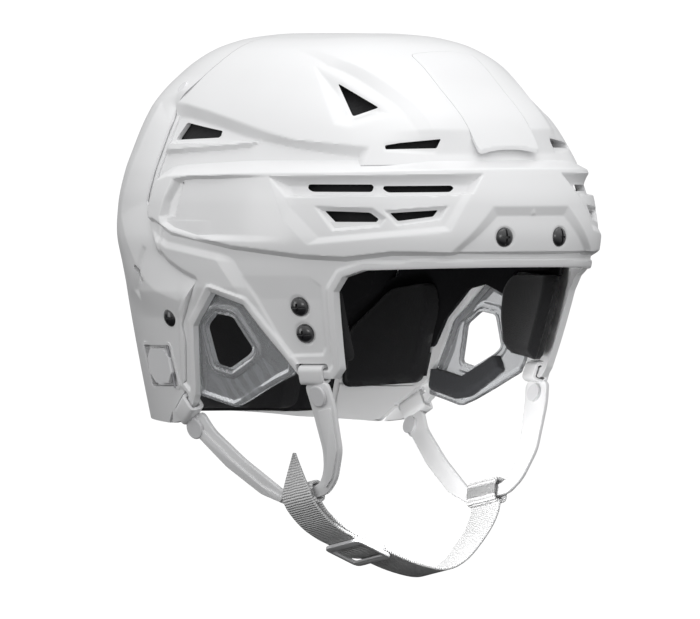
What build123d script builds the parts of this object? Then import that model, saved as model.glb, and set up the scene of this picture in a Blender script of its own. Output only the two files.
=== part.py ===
from build123d import *
from functools import cache
import math
import os

# Ice hockey helmet with a sliding rear shell, clear ear guards, padding and a chin strap.
# Millimetres. +X is the wearer's left, -Y the front, +Z up. The origin is the centre of
# the head opening, in the plane of the lower rim.

# Shell form
shell_half_width = 102.0
front_reach = 148.0
rear_reach = 118.5
widest_section_back = 15.0
widest_level = 95.0
crown_level = 198.0
plan_power = 2.3
rim_width_share = 0.775
rim_front_share = 0.77
rim_rear_share = 0.94
rim_taper_power = 1.25
front_taper_power = 1.6
plan_point_count = 18
middle_overlap = 2.0
low_level_shares = (-0.10, 0.12, 0.40, 0.70, 1.0)
rise_shares = (
    (0.15, 0.992, 0.985, 0.990),
    (0.30, 0.962, 0.947, 0.967),
    (0.417, 0.920, 0.900, 0.937),
    (0.568, 0.848, 0.820, 0.900),
    (0.717, 0.750, 0.688, 0.834),
    (0.867, 0.610, 0.550, 0.688),
    (0.938, 0.500, 0.435, 0.563),
    (0.980, 0.360, 0.305, 0.424),
    (0.9995, 0.180, 0.150, 0.230),
)

# Raised band and side panel, a second form outside the first
band_front_stand = 5.0
band_side_stand = 2.5
panel_depth = 2.0

# Walls and overlaps of the two shells
shell_wall = 2.6
channel_depth = 4.0
seam_gap = 0.5
lap_gap = 0.4
joggle_width = 3.2
cut_overrun = 30.0

# Rear shell travel
slide_travel = 12.0

# Padding
liner_gap = 0.4
liner_thickness = 12.0
pad_gap = 0.4
brow_pad_thickness = 6.0
crown_pad_thickness = 5.0
crown_pad_half_width = 34.0
crown_pad_half_length = 48.0
crown_pad_level = 140.0
temple_pad_inset = 6.0
temple_pad_thickness = 9.0
side_pad_inset = 8.6
side_pad_thickness = 8.4
rear_liner_thickness = 13.5
occipital_pad_thickness = 7.5

# Screws
visor_screw_spacing = 38.2
visor_screw_level = 94.0
side_screw_back = -51.0
side_screw_level = 51.0
side_screw_spacing = 13.9
rear_screw_back = 45.0
rear_screw_level = 52.0
screw_head_diameter = 8.6
screw_head_height = 2.4
screw_shank_diameter = 4.0
screw_slot_width = 1.1
screw_slot_depth = 1.0
screw_hole_clearance = 0.25
nut_diameter = 11.0
nut_thickness = 1.8
screw_seat_gap = 0.15
nut_gap = 0.5
shank_end = 0.4
boss_diameter = 8.0
boss_depth = 3.2
boss_clearance = 0.6

# Front corner panel, drawn square to this direction from the front
corner_angle = 41.0

# Slots in the corner panel: across and up places, length and height
upper_vent_level = 119.4
upper_vent_height = 3.9
front_upper_vent_across = 29.4
front_upper_vent_length = 35.0
rear_upper_vent_across = -10.5
rear_upper_vent_length = 33.0
lower_vent_level = 104.6
lower_vent_height = 5.4
front_lower_vent_across = 27.4
front_lower_vent_length = 23.0
rear_lower_vent_across = -5.0
rear_lower_vent_length = 26.0
crown_vent_across = -2.4
crown_vent_level = 164.6
crown_vent_width = 21.0
crown_vent_height = 17.0
front_crown_vent_across = 26.3
front_crown_vent_level = 142.2
front_crown_vent_width = 29.4
front_crown_vent_height = 4.8

# Vents seen from the side and from the back
rear_crown_vent_back = 25.0
rear_crown_vent_level = 148.0
rear_crown_vent_length = 30.0
rear_crown_vent_height = 8.0
corner_slot_back = 65.7
corner_slot_level = 74.7
corner_slot_length = 11.5
corner_slot_width = 3.2
corner_slot_lean = -49.0
back_vent_across = 33.0
back_vent_levels = (128.0, 88.0)
back_vent_height = 26.0
back_vent_width = 9.0

# Crown insert
insert_half_width = 21.0
insert_rear = -62.0
insert_front = -116.5
insert_thickness = 1.0
insert_gap = 0.25

# Ear opening rim, guard and its window
guard_inset = 3.3
guard_thickness = 1.8
guard_ring_rise = 1.4
ear_foam_gap = 0.3
ear_foam_thickness = 5.0

# Strap slots and the strap hooks that pass through them
front_slot_back = -51.0
front_slot_level = 27.0
rear_slot_back = 49.0
rear_slot_level = 8.5
rear_slot_lean = 33.9
slot_length = 18.6
front_slot_height = 3.6
rear_slot_height = 3.8
front_bar_height = 4.4
rear_bar_height = 4.0
strap_thickness = 1.8
hook_width = 14.0
hook_clearance = 1.3
rear_bar_lean_room = 0.9

# Chin strap loop, laid out in its own leaning plane
loop_thickness = 2.4
loop_lean = 14.0
loop_drop = 62.0
loop_bar_height = 6.2
loop_bar_centre = 34.5
snap_diameter = 11.4
snap_cap_height = 1.6
snap_stud_diameter = 4.0
snap_socket_diameter = 9.0
snap_gap = 0.2
snap_drop = 11.5

# Chin webbing and its buckle
webbing_width = 22.0
webbing_thickness = 1.6
webbing_drop = 41.0
right_eye_clearance = 1.2
left_eye_clearance = 1.9
tail_length = 23.0
tail_flare = 4.5
buckle_length = 24.0
buckle_bar = 3.4
buckle_thickness = 1.6
buckle_rail = 2.4
buckle_gap = 0.35
buckle_share = 0.27

# Latches
latch_back = 65.0
latch_level = 27.0
latch_pocket_length = 31.0
latch_pocket_height = 22.0
latch_pocket_depth = 3.4
latch_pocket_wall = 1.6
latch_length = 26.0
latch_height = 18.0
latch_thickness = 2.6
latch_corner = 5.5
latch_front_radius = 1.25
latch_floor_gap = 0.4
latch_pin_diameter = 1.2
latch_pin_gap = 0.1
latch_pin_length = 24.0
latch_pawl_entry = 0.7
latch_pawl_diameter = 2.6
rack_inset = 6.2
rack_shift = -3.0
rack_length = 46.0
rack_height = 12.0
rack_thickness = 1.8
rack_pitch = 3.0
rack_hole_diameter = 4.2
rack_slot_width = 3.2

# Crown studs of the rear shell
stud_back = 59.0
stud_level = 170.0
stud_diameter = 7.0
stud_rise = 1.2

shell_length = front_reach + rear_reach

# Outlines in the side view, as shares: back from the widest section by the shell's length,
# and up from the rim by the crown level. The front is negative.
seam_shares = (
    (0.200, -0.012), (0.172, 0.023), (0.130, 0.070), (0.098, 0.100),
    (0.074, 0.201), (0.074, 0.244), (0.010, 0.361), (0.046, 0.379), (0.086, 0.405),
    (0.116, 0.439), (0.133, 0.490), (0.154, 0.535), (0.170, 0.565), (0.164, 0.621),
    (0.156, 0.697), (0.154, 0.773), (0.161, 0.813), (0.128, 0.864), (0.095, 0.929),
    (0.077, 0.990), (0.069, 1.120),
)
front_rim_shares = (
    (-0.660, 0.402), (-0.390, 0.389), (-0.352, 0.371), (-0.330, 0.333), (-0.318, 0.227),
    (-0.306, 0.131), (-0.288, 0.106), (-0.221, 0.106), (-0.209, 0.131), (-0.191, 0.167),
    (-0.116, 0.298), (-0.034, 0.330), (0.037, 0.242), (0.045, 0.202), (0.068, 0.086),
    (0.075, 0.061), (0.087, 0.042), (0.139, -0.006),
)
lap_rear_shares = (
    (0.275, 0.026), (0.275, 0.212), (0.199, 0.313), (0.195, 0.379), (0.221, 0.465),
    (0.251, 0.566), (0.244, 0.697), (0.251, 0.773), (0.250, 0.823), (0.208, 0.869),
    (0.172, 0.939), (0.150, 1.005), (0.142, 1.120),
)
channel_shares = (
    (0.151, 0.768), (0.128, 0.790), (-0.004, 0.765), (-0.131, 0.730), (-0.281, 0.712),
    (-0.364, 0.706), (-0.352, 0.694), (-0.135, 0.682), (0.045, 0.672), (0.086, 0.656),
    (0.116, 0.590), (0.139, 0.536), (0.160, 0.560), (0.157, 0.621), (0.150, 0.697),
)
band_shares = (
    (-0.700, 0.700), (-0.352, 0.697), (-0.135, 0.686), (0.045, 0.676), (0.072, 0.668),
    (0.095, 0.634), (0.116, 0.586), (0.139, 0.534), (0.130, 0.502), (0.075, 0.452),
    (0.043, 0.441), (-0.094, 0.413), (-0.225, 0.404), (-0.390, 0.394), (-0.500, 0.402),
    (-0.700, 0.402),
)
liner_shares = (
    (-0.700, 0.424), (-0.280, 0.424), (-0.262, 0.384), (-0.019, 0.384), (0.071, 0.424),
    (0.124, 0.485), (0.169, 0.596), (0.176, 0.758), (0.170, 0.823), (0.140, 0.869),
    (0.110, 0.939), (0.095, 1.005), (0.088, 1.120), (-0.700, 1.120),
)
rear_liner_shares = (
    (0.293, 0.040), (0.293, 0.227), (0.218, 0.323), (0.214, 0.379), (0.240, 0.465),
    (0.270, 0.566), (0.263, 0.697), (0.270, 0.773), (0.269, 0.823), (0.229, 0.869),
    (0.192, 0.939), (0.170, 1.005), (0.162, 1.120), (0.700, 1.120), (0.700, 0.040),
)
guard_shares = (
    (0.077, 0.060), (-0.021, 0.030), (-0.056, 0.045), (-0.157, 0.100), (-0.191, 0.116),
    (-0.203, 0.156), (-0.135, 0.324), (-0.034, 0.357), (0.049, 0.250), (0.056, 0.205),
    (0.077, 0.086),
)
window_shares = (
    (0.016, 0.242), (-0.019, 0.276), (-0.071, 0.266), (-0.109, 0.184), (-0.096, 0.168),
    (-0.034, 0.131), (0.009, 0.143),
)
ring_shares = (
    (0.031, 0.242), (-0.013, 0.292), (-0.085, 0.282), (-0.131, 0.184), (-0.118, 0.151),
    (-0.041, 0.108), (0.021, 0.124),
)
ear_foam_shares = (
    (0.071, 0.126), (0.041, 0.121), (-0.022, 0.103), (-0.083, 0.141), (-0.116, 0.163),
    (-0.146, 0.122), (-0.056, 0.054), (-0.015, 0.047), (0.066, 0.071),
)
temple_pad_shares = (
    (-0.305, 0.150), (-0.165, 0.170), (-0.130, 0.250), (-0.120, 0.330), (-0.150, 0.372),
    (-0.300, 0.372), (-0.312, 0.330),
)
side_pad_shares = (
    (0.082, 0.090), (0.250, 0.075), (0.262, 0.220), (0.190, 0.330), (0.100, 0.350),
    (0.078, 0.290),
)
brow_pad_shares = ((-0.700, 0.434), (-0.250, 0.434), (-0.225, 0.560), (-0.700, 0.560))
occipital_pad_shares = ((0.300, 0.030), (0.700, 0.030), (0.700, 0.270), (0.300, 0.270))

# Side panel in the corner view, as shares: across by the shell's half width, up by the
# crown level
panel_shares = (
    (-0.901, 0.624), (-0.957, 0.580), (-1.018, 0.533), (-1.018, 0.510), (-0.926, 0.480),
    (-0.563, 0.450), (-0.159, 0.432), (0.184, 0.442), (0.346, 0.452), (0.452, 0.491),
    (0.619, 0.640),
)

# Outlines of vents in the corner view, as shares of their own width and height
slot_shares = ((-0.50, 0.50), (0.46, 0.35), (0.50, -0.10), (0.43, -0.50), (-0.44, -0.50))
rear_lower_vent_shares = ((-0.50, 0.55), (0.50, -0.02), (0.46, -0.42), (-0.26, -0.50))
front_lower_vent_shares = ((-0.50, 0.14), (0.50, 0.50), (0.42, -0.42), (-0.38, -0.50))
crown_vent_shares = ((-0.50, 0.50), (0.50, -0.20), (-0.14, -0.50))
front_crown_vent_shares = ((-0.50, -0.46), (0.50, 0.50), (0.43, -0.46))
rear_crown_vent_shares = ((0.50, 0.50), (-0.50, 0.06), (-0.43, -0.38), (0.46, -0.50))

# Webbing's middle line below the bars, as shares: out from the middle by the distance of
# the bars, and down by the webbing's drop
webbing_path_shares = ((0.985, 0.132), (0.925, 0.400), (0.730, 0.700), (0.400, 0.920))

# Chin strap loop outline in its plane, as shares: along from the front hook to the rear
# hook by the distance between them, and down by the loop's drop, less its bottom bar for
# the inner outline
loop_outer_shares = (
    (-0.085, 0.090), (-0.085, 0.290), (-0.032, 0.680), (0.070, 0.905), (0.170, 1.000),
    (0.500, 1.000), (0.655, 0.865), (0.850, 0.570), (1.020, 0.225), (1.060, 0.130),
)
loop_inner_shares = (
    (0.925, 0.067), (0.880, 0.267), (0.715, 0.606), (0.480, 1.000), (0.205, 1.000),
    (0.140, 0.889), (0.100, 0.711), (0.085, 0.322), (0.085, 0.067),
)


def rise_row(climb):
    """Side, front and rear shares at a climb share, straight between the rows of the table."""
    rows = ((0.0, 1.0, 1.0, 1.0),) + rise_shares
    for low, high in zip(rows, rows[1:]):
        if climb <= high[0]:
            part = (climb - low[0]) / (high[0] - low[0])
            return tuple(a + (b - a) * part for a, b in zip(low[1:], high[1:]))
    return rows[-1][1:]


def section_reaches(level, inset, band):
    """Half width, front reach and rear reach of the horizontal section at a level."""
    half, front, rear = shell_half_width, front_reach, rear_reach
    if band:
        half, front, rear = half + band_side_stand, front + band_front_stand, rear + band_side_stand
    if level >= widest_level:
        side_part, front_part, rear_part = rise_row(
            (level - widest_level) / (crown_level - inset - widest_level)
        )
        return (half - inset) * side_part, (front - inset) * front_part, (rear - inset) * rear_part
    drop = (widest_level - level) / widest_level
    narrowing = (1.0 - rim_width_share) * drop**rim_taper_power
    return (
        half * (1.0 - narrowing) - inset,
        front * (1.0 - (1.0 - rim_front_share) * drop**front_taper_power) - inset,
        rear * (1.0 - (1.0 - rim_rear_share) * drop**rim_taper_power) - inset,
    )


def shell_point(turn, level, inset=0.0, band=False):
    """Point of the shell at a turn in degrees round from the front, to the wearer's right."""
    half, front, rear = section_reaches(level, inset, band)
    sine, cosine = math.sin(math.radians(turn)), math.cos(math.radians(turn))
    across = math.copysign(abs(sine) ** (2.0 / plan_power), sine)
    along = math.copysign(abs(cosine) ** (2.0 / plan_power), cosine)
    reach = front if cosine > 0 else rear
    return Vector(-half * across, widest_section_back - reach * along, level)


def section_wire(level, inset, band):
    turns = [360.0 * i / plan_point_count for i in range(plan_point_count)]
    points = [shell_point(turn, level, inset, band) for turn in turns]
    return Wire([Edge.make_spline(points, periodic=True)])


@cache
def dome(inset, band=False):
    """Right half of the solid inside the shell's form, moved inwards by an inset.

    It runs a little past the middle, further for a deeper inset, so no two end faces meet.
    """
    levels = [share * widest_level for share in low_level_shares]
    height = crown_level - inset - widest_level
    levels += [widest_level + height * row[0] for row in rise_shares]
    form = Solid.make_loft([section_wire(level, inset, band) for level in levels])
    past = middle_overlap + (inset + (band_side_stand if band else 0.0)) / 2.0
    half = Box(
        shell_length, 2.0 * shell_length, 3.0 * crown_level,
        align=(Align.MAX, Align.CENTER, Align.CENTER),
    )
    return form & (Pos(past, 0, 0) * half)


def hollow(outer_inset, inner_inset, band=False):
    """Wall of the right half between two insets, the outer one on the band's form if asked."""
    return dome(outer_inset, band) - dome(inner_inset)


def side_outline(shares, shift=0.0):
    """Points of a side view outline, moved back by a shift."""
    return [
        (widest_section_back + back * shell_length + shift, level * crown_level)
        for back, level in shares
    ]


def side_bar(points):
    """Bar over the helmet's right half, with an outline drawn in the side view."""
    reach = shell_half_width + cut_overrun
    face = make_face(Polyline(*points, close=True))
    return extrude(Plane.YZ.offset(-reach) * face, amount=reach)


def wall_piece(outer_inset, inner_inset, shares):
    """Piece of the right half's wall between two insets, inside a side view outline."""
    return hollow(outer_inset, inner_inset) & side_bar(side_outline(shares))


def whole(half):
    """The right half joined to its mirror image."""
    return half + half.mirror(Plane.YZ)


def both(piece):
    """The piece and its mirror image on the other side."""
    return [piece, piece.mirror(Plane.YZ)]


def turn_at_back(back, level, band=False):
    """Turn of the right-hand shell point that lies a distance back."""
    half, front, rear = section_reaches(level, 0.0, band)
    offset = back - widest_section_back
    reach = front if offset < 0 else rear
    turn = math.degrees(math.acos((abs(offset) / reach) ** (plan_power / 2.0)))
    return turn if offset < 0 else 180.0 - turn


def turn_at_across(across, level, band=False):
    """Turn of the right-hand front shell point that lies a distance from the middle."""
    half = section_reaches(level, 0.0, band)[0]
    return math.degrees(math.asin((across / half) ** (plan_power / 2.0)))


@cache
def shell_place(turn, level, band=False):
    """Plane on the shell's right half: X level and forwards, Y up, Z outwards."""
    near = shell_point(turn, level, 0.0, band)
    inwards = Vector(-near.X, widest_section_back - near.Y, 0)
    hits = dome(0.0, band).find_intersection_points(Axis(near - inwards, inwards))
    point, normal = min(hits, key=lambda hit: (hit[0] - near).length)
    return Plane(origin=point, x_dir=Vector(0, 0, 1).cross(normal), z_dir=normal)


corner_sine = math.sin(math.radians(corner_angle))
corner_cosine = math.cos(math.radians(corner_angle))
corner_view = Plane(
    origin=(0, 0, 0), x_dir=(corner_cosine, -corner_sine, 0), z_dir=(-corner_sine, -corner_cosine, 0)
)


def corner_cut(shares, across, level, width, height):
    """Cutter through the right front corner, with an outline drawn in the corner view."""
    points = [(across + a * width, level + b * height) for a, b in shares]
    face = make_face(Polyline(*points, close=True))
    return extrude(corner_view * face, amount=shell_length)


def place_of(back, level):
    return shell_place(turn_at_back(back, level), level)


def visor_place():
    turn = turn_at_across(visor_screw_spacing / 2.0, visor_screw_level, True)
    return shell_place(turn, visor_screw_level, True)


def side_screw_places():
    rise = side_screw_spacing / 2.0
    return [place_of(side_screw_back, side_screw_level + sign * rise) for sign in (-1, 1)]


def rear_screw_place():
    return place_of(rear_screw_back, rear_screw_level)


def latch_place():
    return place_of(latch_back, latch_level)


def front_slot_place():
    return place_of(front_slot_back, front_slot_level)


def leaned(place, angle):
    """The place turned in its own plane, its front end upwards."""
    return Plane(place.location * Rotation(0, 0, angle))


def rear_slot_place():
    return leaned(place_of(rear_slot_back, rear_slot_level), rear_slot_lean)


def through_hole(place, diameter):
    reach = shell_wall + band_front_stand + liner_thickness
    return place * Cylinder(diameter / 2.0, 2.0 * reach)


def vent_cutters():
    """Cutters of the vents in the right half of the front shell."""
    rear_crown_vent = [
        (
            rear_crown_vent_back + a * rear_crown_vent_length,
            rear_crown_vent_level + b * rear_crown_vent_height,
        )
        for a, b in rear_crown_vent_shares
    ]
    return [
        corner_cut(
            slot_shares, front_upper_vent_across, upper_vent_level, front_upper_vent_length,
            upper_vent_height,
        ),
        corner_cut(
            slot_shares, rear_upper_vent_across, upper_vent_level, rear_upper_vent_length,
            upper_vent_height,
        ),
        corner_cut(
            front_lower_vent_shares, front_lower_vent_across, lower_vent_level,
            front_lower_vent_length, lower_vent_height,
        ),
        corner_cut(
            rear_lower_vent_shares, rear_lower_vent_across, lower_vent_level,
            rear_lower_vent_length, lower_vent_height,
        ),
        corner_cut(
            crown_vent_shares, crown_vent_across, crown_vent_level, crown_vent_width,
            crown_vent_height,
        ),
        corner_cut(
            front_crown_vent_shares, front_crown_vent_across, front_crown_vent_level,
            front_crown_vent_width, front_crown_vent_height,
        ),
        side_bar(rear_crown_vent),
    ]


def insert_column(gap):
    """Column over the right half of the crown insert, drawn in by a gap."""
    length = insert_rear - insert_front - 2.0 * gap
    middle = (insert_rear + insert_front) / 2.0
    column = Box(
        insert_half_width - gap, length, crown_level, align=(Align.MAX, Align.CENTER, Align.MIN)
    )
    return Pos(0, middle, visor_screw_level) * column


def seam_outline(shift):
    """Seam of the rear shell in the side view, upwards from just above the rim."""
    return side_outline(seam_shares[1:], shift)


def front_shell():
    """Front shell: skin, raised band, side channels and the lap under the rear shell."""
    corner = side_outline(((-0.70, 1.12),))
    forward = side_bar(
        side_outline(front_rim_shares) + side_outline(seam_shares, -seam_gap) + corner
    )
    lap_outer, lap_inner = shell_wall + lap_gap, 2.0 * shell_wall + lap_gap
    edge = -seam_gap - joggle_width
    joggle = side_bar(seam_outline(edge) + seam_outline(-seam_gap)[::-1])
    lap = side_bar(seam_outline(edge) + side_outline(lap_rear_shares)[::-1])
    channel_face = make_face(Polyline(*side_outline(channel_shares), close=True))
    reach = shell_half_width + cut_overrun
    channel_wall = extrude(
        Plane.YZ.offset(-reach) * offset(channel_face, amount=shell_wall), amount=reach
    )
    channel = side_bar(side_outline(channel_shares))
    floor = channel_depth + shell_wall
    band = hollow(0.0, shell_wall, True) & side_bar(side_outline(band_shares))
    pad = hollow(shell_wall, floor) & (channel_wall & forward)
    shell = (hollow(0.0, shell_wall) & forward) + [
        band, pad, hollow(0.0, lap_inner) & joggle, hollow(lap_outer, lap_inner) & lap
    ]
    panel = corner_cut(panel_shares, 0.0, 0.0, shell_half_width, crown_level)
    hole = screw_shank_diameter + 2.0 * screw_hole_clearance
    bore = boss_diameter + 2.0 * boss_clearance
    travel_slot = Pos(-slide_travel / 2.0, 0) * SlotCenterToCenter(slide_travel, bore)
    travel_slot = extrude(travel_slot, amount=3.0 * floor, both=True)
    margin = 2.0 * (latch_pocket_wall + boss_clearance)
    notch = Box(
        latch_pocket_length + margin + slide_travel, latch_pocket_height + margin, 4.0 * floor
    )
    under_skin = dome(shell_wall + lap_gap / 2.0)
    cutters = [
        channel - dome(channel_depth),
        panel - dome(panel_depth, True),
        insert_column(0.0) - dome(insert_thickness + insert_gap),
        through_hole(visor_place(), hole),
        front_slot_place() * Box(slot_length, front_slot_height, 2.0 * floor),
        rear_slot_place() * Box(slot_length, rear_slot_height, 4.0 * shell_wall),
        (rear_screw_place() * travel_slot) & under_skin,
        (latch_place() * Pos(-slide_travel / 2.0, 0, 0) * notch) & under_skin,
    ]
    cutters += [through_hole(place, hole) for place in side_screw_places()]
    return whole(shell - cutters - vent_cutters())


def crown_insert():
    """Thin cover let into the front of the crown."""
    return whole(hollow(0.0, insert_thickness) & insert_column(insert_gap))


def rear_shell():
    """Rear shell, with the pocket of each latch and the boss of each rear screw."""
    rear_edge = side_outline(((0.70, 1.12), (0.70, 0.040), (0.45, 0.025), (0.34, 0.0)))
    behind = side_bar(side_outline(seam_shares) + rear_edge)
    pocket_depth = latch_pocket_depth + latch_pocket_wall
    pocket_length = latch_pocket_length + 2.0 * latch_pocket_wall
    pocket_height = latch_pocket_height + 2.0 * latch_pocket_wall
    over = shell_wall
    cup = Pos(0, 0, (over - pocket_depth) / 2.0) * Box(
        pocket_length, pocket_height, pocket_depth + over
    )
    boss = Pos(0, 0, -shell_wall / 2.0) * Cylinder(
        boss_diameter / 2.0, boss_depth + shell_wall / 2.0,
        align=(Align.CENTER, Align.CENTER, Align.MAX),
    )
    shell = (hollow(0.0, shell_wall) & behind) + [
        (latch_place() * cup) & dome(0.0), rear_screw_place() * boss
    ]
    pocket = Pos(0, 0, (cut_overrun - latch_pocket_depth) / 2.0) * Box(
        latch_pocket_length, latch_pocket_height, latch_pocket_depth + cut_overrun
    )
    window = Pos(-latch_pawl_diameter / 2.0, 0, 0) * Box(
        3.0 * latch_pawl_diameter, 2.0 * latch_pawl_diameter, 3.0 * pocket_depth
    )
    slot = Box(corner_slot_length, corner_slot_width, 6.0 * shell_wall)
    hole = screw_shank_diameter + 2.0 * screw_hole_clearance
    pin_bore = Rotation(90, 0, 0) * Cylinder(
        latch_pin_diameter / 2.0 + latch_pin_gap, latch_pin_length
    )
    cutters = [
        latch_place() * pocket,
        latch_place() * window,
        latch_place() * Pos(*latch_pin_place()) * pin_bore,
        rear_screw_place() * Cylinder(hole / 2.0, 6.0 * pocket_depth),
        leaned(place_of(corner_slot_back, corner_slot_level), corner_slot_lean) * slot,
    ]
    for level in back_vent_levels:
        opening = Box(back_vent_width, rear_reach, back_vent_height)
        cutters.append(Pos(-back_vent_across, rear_reach, level) * opening)
    return whole(shell - cutters)


def latch_pin_place():
    """Middle of a latch's pin in the latch's place: near its front end, in its thickness."""
    half_thickness = latch_thickness / 2.0
    return (
        latch_length / 2.0 - half_thickness, 0, latch_floor_gap - latch_pocket_depth + half_thickness
    )


def latch():
    """Eight-sided lever in its pocket, with the pawl that goes down into the size rack."""
    half_length, half_height = latch_length / 2.0, latch_height / 2.0
    corners = [
        (half_length - latch_corner, half_height), (half_length, half_height - latch_corner),
        (half_length, latch_corner - half_height), (half_length - latch_corner, -half_height),
        (latch_corner - half_length, -half_height), (-half_length, latch_corner - half_height),
        (-half_length, half_height - latch_corner), (latch_corner - half_length, half_height),
    ]
    bottom = latch_floor_gap - latch_pocket_depth
    plate = extrude(make_face(Polyline(*corners, close=True)), amount=latch_thickness)
    plate = fillet(plate.edges().filter_by(Axis.Y).group_by(Axis.X)[-1], latch_front_radius)
    reach = rack_inset + latch_pawl_entry - latch_pocket_depth + latch_floor_gap
    pawl = Cylinder(
        latch_pawl_diameter / 2.0, reach, align=(Align.CENTER, Align.CENTER, Align.MAX)
    )
    lever = Pos(0, 0, bottom) * (plate + pawl)
    bore = Rotation(90, 0, 0) * Cylinder(
        latch_pin_diameter / 2.0 + latch_pin_gap, 2.0 * latch_height
    )
    return latch_place() * (lever - Pos(*latch_pin_place()) * bore)


def latch_pin():
    pin = Rotation(90, 0, 0) * Cylinder(latch_pin_diameter / 2.0, latch_pin_length - latch_pin_gap)
    return latch_place() * Pos(*latch_pin_place()) * pin


def size_rack():
    """Curved strip under the latch, with a slot scalloped at each size step."""
    points = [
        (latch_back + sign * rack_length / 2.0 + rack_shift, latch_level + rise * rack_height / 2.0)
        for sign, rise in ((-1, -1), (1, -1), (1, 1), (-1, 1))
    ]
    strip = hollow(rack_inset, rack_inset + rack_thickness) & side_bar(points)
    steps = int(slide_travel / rack_pitch) + 1
    depth = 4.0 * rack_inset
    slot = Pos(-slide_travel / 2.0, 0, 0) * Box(slide_travel, rack_slot_width, depth)
    cutters = [latch_place() * slot]
    for step in range(steps):
        hole = Cylinder(rack_hole_diameter / 2.0, depth)
        cutters.append(latch_place() * Pos(-step * rack_pitch, 0, 0) * hole)
    return strip - cutters


def screw(shank_length):
    """Pan head screw with a driver slot, seated at the origin with its shank below."""
    head = Cylinder(
        screw_head_diameter / 2.0, screw_head_height, align=(Align.CENTER, Align.CENTER, Align.MIN)
    )
    head = fillet(head.edges().group_by(Axis.Z)[-1], screw_head_height / 3.0)
    shank = Cylinder(
        screw_shank_diameter / 2.0, shank_length, align=(Align.CENTER, Align.CENTER, Align.MAX)
    )
    slot = Pos(0, 0, screw_head_height) * Box(
        screw_head_diameter, screw_slot_width, 2.0 * screw_slot_depth
    )
    return Pos(0, 0, screw_seat_gap) * (head + shank - slot)


def nut(diameter, depth):
    """Round nut whose upper face lies a depth below the place."""
    bore = Cylinder(screw_shank_diameter / 2.0 + screw_hole_clearance, 3.0 * nut_thickness)
    return Pos(0, 0, -depth - nut_thickness / 2.0) * (
        Cylinder(diameter / 2.0, nut_thickness) - bore
    )


def ear_guard():
    """Clear guard in the ear opening, with a raised ring round its window."""
    window = side_bar(side_outline(window_shares))
    plate = wall_piece(guard_inset, guard_inset + guard_thickness, guard_shares)
    ring = wall_piece(guard_inset - guard_ring_rise, guard_inset + guard_thickness, ring_shares)
    return plate + ring - window


def ear_foam():
    inset = guard_inset + guard_thickness + ear_foam_gap
    return wall_piece(inset, inset + ear_foam_thickness, ear_foam_shares)


def front_liner():
    inset = channel_depth + shell_wall + liner_gap
    return whole(wall_piece(inset, inset + liner_thickness, liner_shares))


def rear_liner():
    inset = shell_wall + liner_gap
    return whole(wall_piece(inset, inset + rear_liner_thickness, rear_liner_shares))


def brow_pad():
    inset = channel_depth + shell_wall + liner_gap + liner_thickness + pad_gap
    return whole(wall_piece(inset, inset + brow_pad_thickness, brow_pad_shares))


def crown_pad():
    inset = channel_depth + shell_wall + liner_gap + liner_thickness + pad_gap
    column = Pos(0, 0, crown_pad_level) * Box(
        crown_pad_half_width, 2.0 * crown_pad_half_length, crown_level,
        align=(Align.MAX, Align.CENTER, Align.MIN),
    )
    return whole(hollow(inset, inset + crown_pad_thickness) & column)


def occipital_pad():
    inset = shell_wall + liner_gap + rear_liner_thickness + pad_gap
    return whole(wall_piece(inset, inset + occipital_pad_thickness, occipital_pad_shares))


def temple_pad():
    return wall_piece(
        temple_pad_inset, temple_pad_inset + temple_pad_thickness, temple_pad_shares
    )


def side_pad():
    return wall_piece(side_pad_inset, side_pad_inset + side_pad_thickness, side_pad_shares)


def hook(slot_height, bar_height):
    """Ring of strap through a slot, round the bar below it and back up."""
    opening = strap_thickness / 2.0
    top, bottom = -opening, -slot_height / 2.0 - bar_height - hook_clearance
    outside, inside = hook_clearance, -shell_wall - hook_clearance
    middle, rise, run = (top + bottom) / 2.0, top - bottom, outside - inside
    centre = Pos(0, middle, (outside + inside) / 2.0)
    ring = Box(hook_width, rise + 2.0 * strap_thickness, run + 2.0 * strap_thickness)
    return centre * (ring - Box(2.0 * hook_width, rise, run))


def front_bar_centre():
    drop = -(front_slot_height + front_bar_height) / 2.0
    return front_slot_place().from_local_coords(Vector(0, drop, -shell_wall / 2.0))


def rear_bar_centre():
    drop = -(rear_slot_height + rear_bar_height) / 2.0
    return rear_slot_place().from_local_coords(Vector(0, drop, -shell_wall / 2.0))


def loop_place():
    """Leaning plane of the right loop: X from its front hook to its rear one, Y down."""
    axis = (rear_bar_centre() - front_bar_centre()).normalized()
    outward = axis.cross(Vector(0, 0, -1)).normalized()
    down = outward.cross(axis)
    lean = math.radians(loop_lean)
    return Plane(
        origin=front_bar_centre(), x_dir=axis,
        z_dir=outward * math.cos(lean) + down * math.sin(lean),
    )


def loop_span():
    return (rear_bar_centre() - front_bar_centre()).length


def strap_loop():
    """Moulded loop from the front hook round to the rear hook, with a hole for each snap."""
    span = loop_span()
    outer = [(a * span, b * loop_drop) for a, b in loop_outer_shares]
    inner_drop = loop_drop - loop_bar_height
    inner = [(a * span, b * inner_drop) for a, b in loop_inner_shares]
    plate = extrude(
        make_face(Polyline(*(outer + inner), close=True)), amount=loop_thickness / 2.0, both=True
    )
    loop = loop_place() * plate + [
        front_slot_place() * hook(front_slot_height, front_bar_height),
        rear_slot_place() * hook(rear_slot_height, rear_bar_height + rear_bar_lean_room),
    ]
    room = snap_cap_height + snap_gap
    rooms = []
    for along in (0.0, span):
        bore = Cylinder(snap_stud_diameter / 2.0 + snap_gap, 2.0 * loop_thickness)
        rooms.append(loop_place() * Pos(along, snap_drop) * bore)
        for side in (-1, 1):
            seat = Pos(along, snap_drop, side * (loop_thickness + room) / 2.0)
            rooms.append(loop_place() * seat * Cylinder(snap_diameter / 2.0 + snap_gap, room))
    return loop - rooms


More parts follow.
